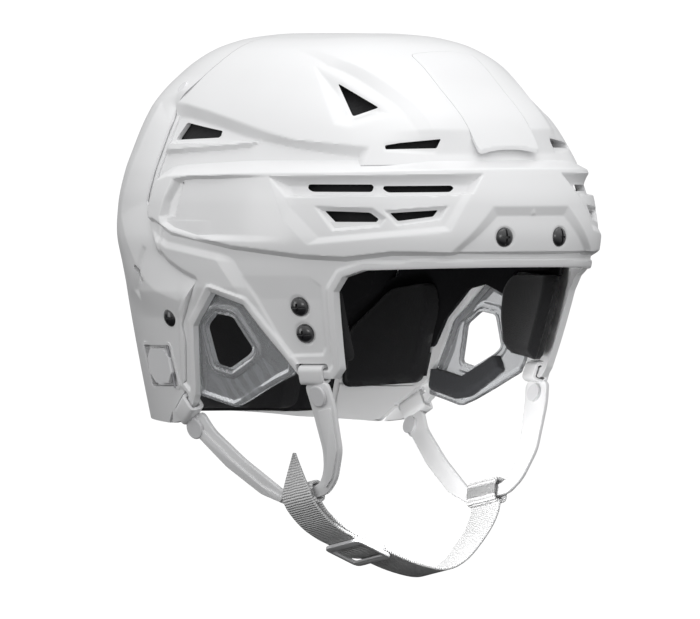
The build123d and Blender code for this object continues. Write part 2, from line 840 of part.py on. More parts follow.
def strap_snap(along):
    """Snap through the loop: a cap outside, a stud and a smaller socket inside."""
    seat = loop_thickness / 2.0 + snap_gap / 2.0
    cap = Pos(0, 0, seat) * Cylinder(
        snap_diameter / 2.0, snap_cap_height, align=(Align.CENTER, Align.CENTER, Align.MIN)
    )
    cap = fillet(cap.edges().group_by(Axis.Z)[-1], snap_cap_height / 2.0)
    socket = Pos(0, 0, -seat) * Cylinder(
        snap_socket_diameter / 2.0, snap_cap_height, align=(Align.CENTER, Align.CENTER, Align.MAX)
    )
    stud = Cylinder(snap_stud_diameter / 2.0, 2.0 * seat + snap_cap_height)
    return loop_place() * Pos(along, snap_drop) * (cap + socket + stud)


def webbing_bar():
    """Middle of the right loop's bottom bar."""
    drop = loop_drop - loop_bar_height / 2.0
    return loop_place().from_local_coords(Vector(loop_bar_centre, drop, 0))


def webbing_place():
    """Plane of the webbing's curve: X to the wearer's left, Y down, Z along its width."""
    bar = webbing_bar()
    axis = (rear_bar_centre() - front_bar_centre()).normalized()
    return Plane(
        origin=(0, bar.Y, bar.Z), x_dir=(1, 0, 0), z_dir=Vector(0, axis.Y, axis.Z).normalized()
    )


def webbing_points():
    """Middle line of the webbing from the right loop to the left one, in its plane."""
    half = -webbing_bar().X
    right = [
        (-a * half, b * webbing_drop) for a, b in webbing_path_shares
    ]
    return right + [(0.0, webbing_drop)] + [(-x, y) for x, y in right[::-1]]


def webbing_eye(side, clearance):
    """Eye of webbing round a loop's bottom bar, on the right (-1) or the left (1)."""
    half = -webbing_bar().X
    run, rise = loop_thickness + 2.0 * clearance, loop_bar_height + 2.0 * clearance
    thick = 2.0 * webbing_thickness
    eye = Rectangle(run + thick, rise + thick)
    eye = fillet(eye.vertices(), webbing_thickness) - Rectangle(run, rise)
    return Pos(side * half, 0) * Rotation(0, 0, side * loop_lean) * eye


def chin_webbing():
    """Webbing under the chin: a doubled eye at each loop, and a loose tail on the right."""
    half = -webbing_bar().X
    curve = trace(Spline(*webbing_points()), webbing_thickness)
    eyes = [webbing_eye(-1, right_eye_clearance), webbing_eye(1, left_eye_clearance)]
    start = half + loop_thickness / 2.0 + right_eye_clearance + webbing_thickness / 2.0
    tail = trace(Line((-start, 0), (-start - tail_flare, -tail_length)), webbing_thickness)
    runs = [
        extrude(webbing_place() * face, amount=webbing_width / 2.0, both=True)
        for face in [curve, tail, *eyes]
    ]
    return runs[0] + runs[1:]


def buckle_place():
    """Plane on the webbing: X along its run to the left, Y across, Z out from the chin."""
    path = webbing_place() * Spline(*webbing_points())
    along = path % buckle_share
    across = webbing_place().z_dir
    return Plane(origin=path @ buckle_share, x_dir=along, z_dir=across.cross(along))


def strap_buckle():
    """Three-bar slide: two bars over the webbing, one under it, and a rail at each edge."""
    lift = webbing_thickness / 2.0 + buckle_gap + buckle_thickness / 2.0
    across = webbing_width + 2.0 * (buckle_gap + buckle_rail)
    bar = Box(buckle_bar, across, buckle_thickness)
    end = (buckle_length - buckle_bar) / 2.0
    frame = Pos(-end, 0, lift) * bar + Pos(end, 0, lift) * bar + Pos(0, 0, -lift) * bar
    rail = Box(buckle_length, buckle_rail, 2.0 * lift + buckle_thickness)
    for side in (-1, 1):
        frame += Pos(0, side * (across - buckle_rail) / 2.0, 0) * rail
    return buckle_place() * frame


def crown_stud():
    """Low round stud on the rear shell, just behind its seam."""
    stud = Cylinder(stud_diameter / 2.0, 2.0 * stud_rise)
    stud = fillet(stud.edges().group_by(Axis.Z)[-1], stud_rise / 2.0)
    return place_of(stud_back, stud_level) * stud - dome(0.0)


def save(name, *solids):
    """Write one node, from one solid or a group of like ones."""
    shape = solids[0] if len(solids) == 1 else Compound(children=list(solids))
    export_step(shape, "parts/" + name + ".step")


def save_pair(name, *solids):
    """Write a right-hand node and its left-hand mirror image."""
    save(name + "_right", *solids)
    save(name + "_left", *[solid.mirror(Plane.YZ) for solid in solids])


os.makedirs("parts", exist_ok=True)
thin_shank = shell_wall + nut_gap + nut_thickness + shank_end
front_wall = shell_wall + band_front_stand
visor_shank = thin_shank + band_front_stand
boss_shank = shell_wall + boss_depth + nut_thickness + shank_end

save("front_shell", front_shell())
save("crown_insert", crown_insert())
save("rear_shell", rear_shell())
save("front_liner", front_liner())
save("rear_liner", rear_liner())
save("brow_pad", brow_pad())
save("crown_pad", crown_pad())
save("occipital_pad", occipital_pad())
save_pair("temple_pad", temple_pad())
save_pair("side_pad", side_pad())
save_pair("ear_guard", ear_guard())
save_pair("ear_foam", ear_foam())
save("visor_screws", *both(visor_place() * screw(visor_shank)))
save("visor_nuts", *both(visor_place() * nut(nut_diameter, front_wall + nut_gap)))
save_pair("side_screws", *[place * screw(thin_shank) for place in side_screw_places()])
save_pair(
    "side_nuts",
    *[place * nut(nut_diameter, shell_wall + nut_gap) for place in side_screw_places()],
)
save_pair("rear_screw", rear_screw_place() * screw(boss_shank))
save_pair("rear_nut", rear_screw_place() * nut(boss_diameter, shell_wall + boss_depth))
save("crown_studs", *both(crown_stud()))
save_pair("latch", latch())
save_pair("latch_pin", latch_pin())
save_pair("size_rack", size_rack())
save_pair("strap_loop", strap_loop())
save_pair("strap_snaps", strap_snap(0.0), strap_snap(loop_span()))
save("chin_webbing", chin_webbing())
save("strap_buckle", strap_buckle())
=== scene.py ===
import bpy
import math
import numpy as np
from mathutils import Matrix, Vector


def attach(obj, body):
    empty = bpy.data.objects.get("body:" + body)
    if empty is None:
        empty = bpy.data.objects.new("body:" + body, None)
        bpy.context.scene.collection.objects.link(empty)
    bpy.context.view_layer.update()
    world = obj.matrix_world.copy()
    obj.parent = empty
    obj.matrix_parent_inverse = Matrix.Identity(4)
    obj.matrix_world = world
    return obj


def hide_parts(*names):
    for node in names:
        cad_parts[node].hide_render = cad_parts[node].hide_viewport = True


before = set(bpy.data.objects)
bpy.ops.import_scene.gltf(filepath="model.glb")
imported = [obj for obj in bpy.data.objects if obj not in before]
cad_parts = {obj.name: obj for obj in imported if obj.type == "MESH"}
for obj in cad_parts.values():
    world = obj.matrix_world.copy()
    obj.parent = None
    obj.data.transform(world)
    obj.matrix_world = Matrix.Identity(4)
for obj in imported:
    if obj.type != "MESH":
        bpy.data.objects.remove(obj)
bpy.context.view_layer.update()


# Camera: level with the helmet, at its right front corner, with no perspective. It stands half
# a degree high, a metre off the middle of the picture, which is 360 mm wide.
camera_data = bpy.data.cameras.new("camera")
camera_data.type = "ORTHO"
camera_data.ortho_scale = 0.3605
camera = bpy.data.objects.new("camera", camera_data)
bpy.context.scene.collection.objects.link(camera)
bpy.context.scene.camera = camera
camera_turn, camera_rise = math.radians(-41.0), math.radians(0.5)
camera_back = Vector((
    math.sin(camera_turn) * math.cos(camera_rise),
    -math.cos(camera_turn) * math.cos(camera_rise),
    math.sin(camera_rise),
))
camera.location = Vector((-0.00445, 0.00387, 0.0559)) + camera_back
camera.rotation_euler = camera_back.to_track_quat("Z", "Y").to_euler()


# Studio: white surround that brightens upwards, broad soft light from above and the right, a
# weak one from behind, and a small lamp that lights the far side of the inside.
bpy.context.scene.view_settings.view_transform = "Standard"
world = bpy.data.worlds.new("studio")
bpy.context.scene.world = world
world.use_nodes = True
sky = world.node_tree


def set_inputs(tree, node, values, sources=None):
    """The node, with values set on some of its inputs and other sockets feeding others."""
    for key, value in values.items():
        node.inputs[key].default_value = value
    for key, source in (sources or {}).items():
        tree.links.new(source, node.inputs[key])
    return node


def add_node(tree, kind, values=None, sources=None, **settings):
    """New shader node of a kind, with its settings and its inputs."""
    node = tree.nodes.new("ShaderNode" + kind)
    for key, value in settings.items():
        setattr(node, key, value)
    return set_inputs(tree, node, values or {}, sources)


way = add_node(sky, "TexCoord")
upwards = add_node(
    sky, "VectorMath", {1: (0.0, -0.25, 0.968)}, {0: way.outputs["Generated"]}, operation="DOT_PRODUCT",
)
strength = add_node(
    sky, "MapRange", {"From Min": -0.58, "To Min": 0.0, "To Max": 1.2}, {"Value": upwards.outputs["Value"]},
)
surround = set_inputs(sky, sky.nodes["Background"], {"Color": (0.99, 0.995, 1.0, 1.0)}, {
    "Strength": strength.outputs["Result"],
})
backdrop = add_node(sky, "Background", {"Color": (1.0, 1.0, 1.0, 1.0), "Strength": 1.05})
rays = add_node(sky, "LightPath")
seen = add_node(sky, "Math", {}, {
    0: rays.outputs["Is Camera Ray"], 1: rays.outputs["Is Transmission Ray"],
}, operation="MAXIMUM")
mixed = add_node(sky, "MixShader", {}, {
    "Fac": seen.outputs[0], 1: surround.outputs[0], 2: backdrop.outputs[0],
})
set_inputs(sky, sky.nodes["World Output"], {}, {"Surface": mixed.outputs[0]})


def area_light(name, place, width, height, power):
    """Soft rectangular light that looks at the middle of the helmet."""
    data = bpy.data.lights.new(name, "AREA")
    data.shape = "RECTANGLE"
    data.size, data.size_y, data.energy = width, height, power
    light = bpy.data.objects.new(name, data)
    bpy.context.scene.collection.objects.link(light)
    light.location = place
    light.rotation_euler = (Vector(place) - Vector((0.0, 0.0, 0.09))).to_track_quat("Z", "Y").to_euler()
    return light


area_light("key_light", (0.55, -1.10, 0.95), 0.9, 0.7, 0.4)
area_light("top_light", (-0.10, -0.10, 1.30), 1.1, 1.1, 3.6)
area_light("rear_light", (-1.10, 0.55, 0.15), 0.5, 0.7, 2.2)
area_light("fill_light", (-1.05, -1.20, 0.35), 0.8, 0.5, 3.2)
inner_light = area_light("inner_light", (-0.045, -0.06, -0.02), 0.05, 0.05, 0.17)
inner_light.rotation_euler = Vector((-0.9, -0.35, 0.05)).to_track_quat("Z", "Y").to_euler()
inner_light.visible_camera = inner_light.visible_glossy = inner_light.visible_transmission = False


# Crown of the front shell: the smooth dome of glossy white moulded plastic, from the recess
# above the raised band to the seam of the rear shell, with its vents and its flat top. Shapes
# are worked out in millimetres and become metres where a mesh is made.
def new_material(name):
    """New material, its node tree and its shader."""
    material = bpy.data.materials.new(name)
    material.use_nodes = True
    return material, material.node_tree, material.node_tree.nodes["Principled BSDF"]


def moulded(name, colour, roughness, grain=0.04, coat=0.0, metal=0.0):
    """Moulded plastic or metal: fine grain in the height, and slow noise in its gloss and tone.

    The noise moves the roughness by 0.03 each way.
    """
    material, tree, shader = new_material(name)
    place = add_node(tree, "TexCoord").outputs["Object"]
    slow = add_node(tree, "TexNoise", {"Scale": 28.0, "Detail": 3.0}, {"Vector": place}).outputs["Fac"]
    fine = add_node(tree, "TexNoise", {"Scale": 1500.0, "Detail": 2.0}, {"Vector": place}).outputs["Fac"]
    gloss = add_node(tree, "MapRange", {
        "To Min": roughness - 0.03, "To Max": roughness + 0.03,
    }, {"Value": slow})
    shade = add_node(tree, "MapRange", {"To Min": 0.975, "To Max": 1.01}, {"Value": slow})
    tone = add_node(tree, "HueSaturation", {"Color": (*colour, 1.0)}, {"Value": shade.outputs["Result"]})
    bump = add_node(tree, "Bump", {"Strength": grain, "Distance": 0.0003}, {"Height": fine})
    set_inputs(tree, shader, {
        "Base Color": (*colour, 1.0), "Coat Weight": coat, "Coat Roughness": 0.12, "Metallic": metal,
    }, {
        "Base Color": tone.outputs["Color"], "Roughness": gloss.outputs["Result"],
        "Normal": bump.outputs["Normal"],
    })
    return material


shell_white = moulded("shell_white", (0.83, 0.83, 0.835), 0.30, coat=0.25)
shell_wall = 2.6
widest_level, crown_level = 95.0, 198.0
form_middle, plan_power = 15.0, 2.3
rise_rows = (
    (0.0, 1.0, 1.0, 1.0), (0.15, 0.992, 0.985, 0.990), (0.30, 0.962, 0.947, 0.967),
    (0.417, 0.920, 0.900, 0.937), (0.568, 0.848, 0.820, 0.900), (0.717, 0.750, 0.688, 0.834),
    (0.867, 0.610, 0.550, 0.688), (0.938, 0.500, 0.435, 0.563), (0.980, 0.360, 0.305, 0.424),
    (0.9995, 0.180, 0.150, 0.230), (1.0, 0.0, 0.0, 0.0),
)


def form_rows(inset, band):
    """Level, half width, front reach and rear reach of the shell's form, upwards.

    Below the widest level each size loses a share of itself that goes with a power of the drop.
    Above it each size is multiplied by its column of rise_rows.
    """
    half, front, rear = (104.5, 153.0, 121.0) if band else (102.0, 148.0, 118.5)
    rows = []
    for level in (-12.0, 0.0, 11.4, 24.0, 38.0, 52.0, 66.5, 81.0):
        drop = (widest_level - level) / widest_level
        rows.append((
            level,
            half * (1.0 - 0.225 * drop**1.25) - inset,
            front * (1.0 - 0.23 * drop**1.6) - inset,
            rear * (1.0 - 0.06 * drop**1.25) - inset,
        ))
    for climb, side, ahead, behind in rise_rows:
        level = widest_level + climb * (crown_level - widest_level - inset)
        rows.append((level, (half - inset) * side, (front - inset) * ahead, (rear - inset) * behind))
    return np.array(rows)


def row_knots(rows):
    """Length along the mean profile up to each row."""
    steps = np.hypot(np.diff(rows[:, 0]), np.diff(rows[:, 1:].mean(axis=1)))
    return np.concatenate([[0.0], np.cumsum(steps)])


def eased(knots, values, at):
    """Smooth curves through rows of values, none of which swings past its rows.

    Cubic Hermite pieces, whose slope at a row is the weighted harmonic mean of the slopes beside
    it, or 0 where those differ in sign.
    """
    step = np.diff(knots)[:, None]
    slope = np.diff(values, axis=0) / step
    near, far = 2.0 * step[1:] + step[:-1], step[1:] + 2.0 * step[:-1]
    same_way = slope[:-1] * slope[1:] > 1e-12
    first, second = np.where(same_way, slope[:-1], 1.0), np.where(same_way, slope[1:], 1.0)
    inner = np.where(same_way, (near + far) / (near / first + far / second), 0.0)
    tangent = np.vstack([slope[:1], inner, slope[-1:]])
    i = np.clip(np.searchsorted(knots, at, side="right") - 1, 0, len(knots) - 2)
    t = ((at - knots[i]) / (knots[i + 1] - knots[i]))[:, None]
    run = step[i]
    return (
        (1.0 + 2.0 * t) * (1.0 - t) ** 2 * values[i] + t * (1.0 - t) ** 2 * run * tangent[i]
        + t * t * (3.0 - 2.0 * t) * values[i + 1] + t * t * (t - 1.0) * run * tangent[i + 1]
    )


def path_at(level, band=False):
    """Share of the way from below the rim to the crown at which the form reaches a level."""
    rows = form_rows(0.0, band)
    knots = row_knots(rows)
    fine = np.linspace(0.0, knots[-1], 2000)
    return float(np.interp(level, eased(knots, rows, fine)[:, 0], fine / knots[-1]))


def form_points(turns, paths, inset=0.0, band=False):
    """Grid of form points: a row for each path share, a column for each turn in degrees.

    Each level is a superellipse whose sine and cosine have the power 2 over plan_power.
    """
    rows = form_rows(inset, band)
    knots = row_knots(rows)
    level, half, front, rear = eased(knots, rows, np.asarray(paths) * knots[-1]).T
    sine, cosine = np.sin(np.radians(turns)), np.cos(np.radians(turns))
    across = np.sign(sine) * np.abs(sine) ** (2.0 / plan_power)
    along = np.sign(cosine) * np.abs(cosine) ** (2.0 / plan_power)
    reach = np.where(cosine > 0, front[:, None], rear[:, None])
    return np.stack([
        -half[:, None] * across, form_middle - reach * along,
        np.repeat(level[:, None], len(turns), axis=1),
    ], axis=-1)


def form_grid(turns, paths, inset=0.0, band=False):
    """Form points with their outward normals."""
    points = form_points(turns, paths, inset, band)
    half_turn, half_path = 0.02, 0.0004
    to_left = form_points(np.asarray(turns) + half_turn, paths, inset, band)
    to_left -= form_points(np.asarray(turns) - half_turn, paths, inset, band)
    upwards = form_points(turns, np.minimum(np.asarray(paths) + half_path, 1.0), inset, band)
    upwards -= form_points(turns, np.maximum(np.asarray(paths) - half_path, 0.0), inset, band)
    normals = np.cross(upwards, to_left)
    length = np.linalg.norm(normals, axis=-1, keepdims=True)
    normals = np.where(length > 1e-9, normals / np.maximum(length, 1e-9), np.array([0.0, 0.0, 1.0]))
    return points, normals


def lengths_along(points):
    """Length along a line of points up to each, from the steps between them."""
    return np.concatenate([[0.0], np.cumsum(np.linalg.norm(np.diff(points, axis=0), axis=1))])


def even_turns(first, last, step, level=110.0):
    """Turns spaced evenly along the form's section at a level."""
    fine = np.linspace(first, last, 4000)
    ring = form_points(fine, [path_at(level)])[0]
    length = lengths_along(ring)
    return np.interp(np.linspace(0.0, length[-1], int(length[-1] / step) + 2), length, fine)


def even_paths(low, high, step, band=False):
    """Path shares from one level to another, about a step apart along the profile."""
    start = path_at(low, band)
    stop = 1.0 if high is None else path_at(high, band)
    total = row_knots(form_rows(0.0, band))[-1]
    return np.linspace(start, stop, int((stop - start) * total / step) + 2)


def object_of(name, vertices, faces):
    """Object from a mesh in millimetres."""
    mesh = bpy.data.meshes.new(name)
    mesh.from_pydata((np.asarray(vertices, float) * 0.001).tolist(), [], faces)
    mesh.validate()
    thing = bpy.data.objects.new(name, mesh)
    bpy.context.scene.collection.objects.link(thing)
    return thing


def wall(name, turns, paths, relief, depth, inset=0.0, band=False, ring=False, inner_rows=24):
    """Closed wall on the form, in which a ring closes on itself.

    An outer point is the form's point plus its normal times the relief there, and an inner one is
    the form's point less its normal times the depth. Paths that end at 1 meet in one point.
    """
    points, normals = form_grid(turns, paths, inset, band)
    pole = paths[-1] >= 1.0
    keep = np.unique(np.linspace(0, len(paths) - 1, inner_rows).astype(int))
    outer = points + normals * relief(points)[..., None]
    sunk = depth(points[keep]) if callable(depth) else np.full(points[keep].shape[:2], depth)
    inner = points[keep] - normals[keep] * sunk[..., None]
    columns = len(turns)
    vertices, faces, sheets, tips, base = [], [], [], [], 0
    here = np.arange(columns if ring else columns - 1)
    after = (here + 1) % columns
    for sheet, order in ((outer, 1), (inner, -1)):
        rows = len(sheet) - 1 if pole else len(sheet)
        vertices.append(sheet[:rows].reshape(-1, 3))
        index = base + np.arange(rows * columns).reshape(rows, columns)
        low, high = index[:-1], index[1:]
        quads = np.stack([low[:, here], high[:, here], high[:, after], low[:, after]], -1).reshape(-1, 4)
        faces += quads[:, ::order].tolist()
        base += index.size
        if pole:
            vertices.append(sheet[-1:, 0])
            fan = np.stack([index[-1][here], np.full(len(here), base), index[-1][after]], -1)
            faces += fan[:, ::order].tolist()
            tips.append(base)
            base += 1
        sheets.append(index)
    outside, inside = sheets
    for row, order in ((0, 1),) if pole else ((0, 1), (-1, -1)):
        edge = [outside[row][here], outside[row][after], inside[row][after], inside[row][here]]
        faces += np.stack(edge, -1)[:, ::order].tolist()
    if not ring:
        for column, order in ((0, -1), (-1, 1)):
            loop = outside[:, column].tolist() + tips + inside[::-1, column].tolist()
            faces.append(loop[::order])
    return object_of(name, np.concatenate(vertices), faces)


def rounded(points, radius, steps=5):
    """Outline with its corners rounded, each by a parabola between points a radius away.

    The parabola's points are the weighted means of its two ends and the corner.
    """
    result = []
    points = [np.array(p, float) for p in points]
    for before, corner, after in zip(points[-1:] + points[:-1], points, points[1:] + points[:1]):
        back, ahead = before - corner, after - corner
        reach = min(radius, 0.45 * np.linalg.norm(back), 0.45 * np.linalg.norm(ahead))
        start = corner + back / np.linalg.norm(back) * reach
        stop = corner + ahead / np.linalg.norm(ahead) * reach
        for t in np.linspace(0.0, 1.0, steps + 1):
            result.append((1 - t) ** 2 * start + 2 * t * (1 - t) * corner + t * t * stop)
    return np.array(result)


def box_outline(width, height, radius=0.0):
    """Rectangle round the origin, with rounded corners if asked."""
    a, b = width / 2.0, height / 2.0
    corners = [(-a, -b), (a, -b), (a, b), (-a, b)]
    return rounded(corners, radius) if radius else np.array(corners)


corner_x, corner_y = 0.7547, 0.6561
x_axis, y_axis, z_axis = np.eye(3)
side_axes = (y_axis, z_axis, x_axis)
front_axes = (x_axis, z_axis, y_axis)
top_axes = (x_axis, y_axis, z_axis)
corner_axes = (corner_x * x_axis - corner_y * y_axis, z_axis, corner_y * x_axis + corner_x * y_axis)


def bar(outline, axes, start, end, mirrored=False):
    """Closed prism of an outline, drawn in the first two axes and carried along the third."""
    across, up, along = axes
    outline = np.asarray(outline, float)
    ring = outline[:, :1] * across + outline[:, 1:] * up
    vertices = np.concatenate([ring + start * along, ring + end * along])
    if mirrored:
        vertices = vertices * np.array([-1.0, 1.0, 1.0])
    n = len(outline)
    nexts = np.roll(outline, -1, axis=0)
    area = np.sum(outline[:, 0] * nexts[:, 1] - nexts[:, 0] * outline[:, 1])
    handed = np.dot(np.cross(across, up), along) * area * (-1.0 if mirrored else 1.0) * (end - start)
    faces = [list(range(n))[::-1], list(range(n, 2 * n))]
    faces += [[i, (i + 1) % n, n + (i + 1) % n, n + i] for i in range(n)]
    if handed < 0:
        faces = [face[::-1] for face in faces]
    return object_of("bar", vertices, faces)


def through(outline, end=150.0):
    """Prism of a side outline from the helmet's right to its left, or only as far as asked."""
    return bar(outline, side_axes, -150.0, end)


def from_corner(*outlines):
    """Prisms of corner view outlines into the right side, each with its mirror image."""
    return [
        bar(outline, corner_axes, -220.0, -8.0, mirrored)
        for outline in outlines for mirrored in (False, True)
    ]


def baked(thing):
    """The object with its modifiers made part of its mesh."""
    done = thing.evaluated_get(bpy.context.evaluated_depsgraph_get())
    mesh = bpy.data.meshes.new_from_object(done)
    thing.modifiers.clear()
    old, thing.data = thing.data, mesh
    bpy.data.meshes.remove(old)
    return thing


def shaped(thing, keep=(), cut=()):
    """The object after Boolean steps with helper solids, which are then removed."""
    steps = [(solid, "INTERSECT") for solid in keep] + [(solid, "DIFFERENCE") for solid in cut]
    for solid, operation in steps:
        step = thing.modifiers.new("step", "BOOLEAN")
        step.solver, step.operation, step.object = "MANIFOLD", operation, solid
    baked(thing)
    for solid, operation in steps:
        bpy.data.objects.remove(solid)
    return thing


def finished(thing, material, body, sharp=38.0, nodes=()):
    """The object smooth but for its sharp edges, with its material, body and node."""
    thing.data.shade_smooth()
    thing.data.set_sharp_from_angle(angle=math.radians(sharp))
    thing.data.materials.clear()
    thing.data.materials.append(material)
    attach(thing, body)
    if nodes:
        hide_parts(*nodes)
    return thing


def distance(outline, across, up):
    """Distance from points to a closed outline, positive inside it.

    The least distance to any side, with the sign from the count of sides crossed by a level ray.
    """
    outline = np.asarray(outline, float)
    nearest = np.full(across.shape, np.inf)
    inside = np.zeros(across.shape, bool)
    for (a0, b0), (a1, b1) in zip(outline, np.roll(outline, -1, axis=0)):
        run = np.array([a1 - a0, b1 - b0])
        share = ((across - a0) * run[0] + (up - b0) * run[1]) / max(run @ run, 1e-12)
        share = np.clip(share, 0.0, 1.0)
        gap = np.hypot(across - a0 - share * run[0], up - b0 - share * run[1])
        nearest = np.minimum(nearest, gap)
        crosses = (b0 > up) != (b1 > up)
        at = a0 + (up - b0) / (b1 - b0 if b1 != b0 else 1e-12) * run[0]
        inside ^= crosses & (across < at)
    return np.where(inside, nearest, -nearest)


def ramp(value, start, end):
    """0 up to start, 1 from end on, and straight between them."""
    return np.clip((value - start) / (end - start), 0.0, 1.0)


def soft(share):
    """The share eased at both ends."""
    return share * share * (3.0 - 2.0 * share)


def facet(outer, inner, across, up):
    """0 outside the outer outline, 1 inside the inner one, and a straight slope between."""
    out, within = distance(outer, across, up), distance(inner, across, up)
    share = out / np.maximum(out - within, 1e-6)
    return np.where(within >= 0, 1.0, np.where(out <= 0, 0.0, np.clip(share, 0.0, 1.0)))


def tub(outline, widths, across, up):
    """Depth share of a convex recess whose sides slope, each over its own width."""
    outline = np.asarray(outline, float)
    middle = outline.mean(axis=0)
    share = np.ones(across.shape)
    for start, end, width in zip(outline, np.roll(outline, -1, axis=0), widths):
        run = (end - start) / np.linalg.norm(end - start)
        normal = np.array([-run[1], run[0]])
        normal = normal if normal @ (middle - start) > 0 else -normal
        inwards = (across - start[0]) * normal[0] + (up - start[1]) * normal[1]
        share = np.minimum(share, np.clip(inwards / width, 0.0, 1.0))
    return share


def corner(*pixels):
    """Corner view millimetres of places on the 700 pixel wide photograph."""
    scale, column, row = 1.942, 361.5, 418.0
    return [((a - column) / scale, (row - b) / scale) for a, b in pixels]


def side_view(points):
    """Y and level of points, as the side outlines have them."""
    return points[..., 1], points[..., 2]


def corner_view(points):
    """Distance across the corner view, and level, of points moved to the right half."""
    return -np.abs(points[..., 0]) * corner_x - points[..., 1] * corner_y, points[..., 2]


def edge_dip(outline, across, up, width=1.1, drop=0.6):
    """Rounded edge round an opening: the drop times the square of the nearness to it."""
    near = np.clip(1.0 + distance(outline, across, up) / width, 0.0, 1.0)
    return -drop * near * near


seam = [
    (68.3, -2.4), (60.8, 4.6), (49.6, 13.9), (41.1, 19.8), (34.7, 39.8), (34.7, 48.3), (17.7, 71.5),
    (27.3, 75.0), (37.9, 80.2), (45.9, 86.9), (50.4, 97.0), (56.0, 105.9), (60.3, 111.9),
    (58.7, 123.0), (56.6, 138.0), (56.0, 153.1), (57.9, 161.0), (49.1, 171.1), (40.3, 183.9),
    (35.5, 196.0), (33.4, 221.8),
]
crown_edge_outer = [
    (66, 163), (46, 162), (26, 159), (3, 154.5), (-17, 150), (-45, 144), (-69, 142), (-84, 140.5),
    (-84, 90), (66, 90),
]
crown_edge_inner = [
    (62, 155), (49, 157), (41, 156.5), (13.5, 152), (-8, 147), (-19, 144.6), (-60, 139.5), (-80, 137),
    (-80, 90), (66, 90),
]
rear_vent = rounded([(43.5, 152.4), (11, 148.2), (12.5, 144.8), (48.5, 143.4)], 1.4)
rear_vent_ridge = [(53, 143.5), (30, 143.6), (8, 143.6), (-22, 145), (-14, 141.5), (10, 139.8), (53, 137.5)]
crown_vent = rounded(corner((338, 82), (379, 106), (353, 115)), 1.4)
crown_vent_dip = corner((312, 62), (333, 124), (352, 127), (394, 113), (384, 102), (340, 76))
front_vent = rounded(corner((385, 143.5), (400, 141), (441, 137.2), (436.5, 146.5), (385.5, 147.5)), 0.8)
plateau_outer = [(-1, -170), (44, -170), (47, -82), (55, -37), (51, 4), (-1, 4)]
plateau_inner = [(-1, -170), (37, -170), (40, -87), (49.5, -42), (50.9, 4), (-1, 4)]


def plateau_rise(y):
    """Height of the flat top above the dome: it grows forwards, and fades out by the brow."""
    return 2.3 * soft(ramp(-y, -4.0, 60.0)) * (1.0 - soft(ramp(-y, 72.0, 122.0)))


def crown_relief(points):
    """Recess above the band, ramps beside the flat top, and a rounded edge at each vent."""
    y, z = side_view(points)
    u, w = corner_view(points)
    forward = soft(ramp(u, 8.0, 45.0))
    sink = np.maximum(facet(crown_edge_outer, crown_edge_inner, y, z), ramp(-z, -149.0, -139.0) * forward)
    height = 2.4 * ramp(distance(rear_vent_ridge, y, z), 0.0, 1.3) - 4.0 * sink
    height += facet(plateau_outer, plateau_inner, np.abs(points[..., 0]), y) * plateau_rise(y)
    height -= 2.2 * soft(ramp(distance(crown_vent_dip, u, w), 0.0, 8.0))
    return height + edge_dip(rear_vent, y, z) + edge_dip(crown_vent, u, w) + edge_dip(front_vent, u, w)


def turns_all_round(step):
    """Even turns round the front and sides, and 40 coarser ones behind, under the rear shell."""
    return np.concatenate([even_turns(-121.0, 121.0, step, 130.0), np.linspace(125.0, 235.0, 40)])


crown = wall(
    "crown", turns_all_round(0.85), even_paths(98.0, None, 0.94), crown_relief, depth=6.8, ring=True,
)
crown_region = [(y - 0.5, z) for y, z in seam[10:]] + [
    (-170, 222), (-170, 133), (-79, 131), (-21, 129), (27, 127), (33, 122), (40, 108), (44, 99), (50, 96),
]
insert_pocket = wall(
    "pocket", even_turns(-40, 40, 2.0), even_paths(120.0, 197.9, 2.0),
    lambda points: np.full(points.shape[:2], 6.0), depth=1.1,
)
insert_middle = (0.0, -89.25)
insert_pocket = shaped(insert_pocket, keep=[
    bar(box_outline(42.0, 54.5, 3.0) + insert_middle, top_axes, 90.0, 230.0),
])
bracket_slit = [(25.6, 121.8), (27.4, 122.2), (31.9, 105.2), (30.1, 104.7)]
crown = shaped(
    crown, keep=[through(crown_region)],
    cut=[insert_pocket, through(bracket_slit), through(rear_vent)] + from_corner(crown_vent, front_vent),
)
finished(crown, shell_white, "shell", nodes=["front_shell"])


# Crown insert: a thin cover of the same white plastic, let into a shallow pocket in the front
# of the crown, with a gap of 0.2 all round.
insert = wall(
    "crown_cover", even_turns(-40, 40, 1.2), even_paths(120.0, 197.9, 1.2),
    lambda points: 0.02 + plateau_rise(points[..., 1]), depth=1.0,
)
insert = shaped(insert, keep=[
    bar(box_outline(41.6, 54.1, 3.0) + insert_middle, top_axes, 90.0, 230.0),
])
finished(insert, shell_white, "shell", nodes=["crown_insert"])


# Raised band: the part of the white front shell that stands out round the forehead and along
# both sides, moulded with a wide top bevel, a bracket at each rear end, a cluster of vents, and
# the forehead panel.
panel_rear = [
    (-60, 126.4), (20, 125.2), (31, 123.8), (37, 113), (40.5, 104), (39, 100.3), (31, 96.4), (12, 92.3),
    (-60, 91.5),
]
bracket_pocket = [(33, 124.0), (25.6, 122.4), (30.2, 104.6), (41.5, 103.5), (38, 113)]
upper_tub = corner((268, 174.5), (484, 171.5), (474, 191), (430, 193.5), (283, 194.5))
cluster_frame = corner((268, 174.5), (484, 171.5), (451, 229), (306, 243), (283, 219))
left_slot = rounded(corner((309, 182.5), (372, 182.5), (374, 185), (372, 190), (313, 190), (308, 187)), 1.3)
right_slot = rounded(corner((384, 184), (451, 183.5), (454, 186), (450, 190), (388, 190.5), (383, 187)), 1.3)
left_lower_vent = rounded(corner((325, 209), (370, 210.5), (379, 217), (376, 220.5), (339, 223.5)), 1.0)
right_lower_vent = rounded(corner((390, 211), (438, 208), (433, 214.5), (398, 219)), 0.9)
left_lower_tub = corner((313, 204), (372, 205.5), (386, 216), (379, 224.5), (331, 229))
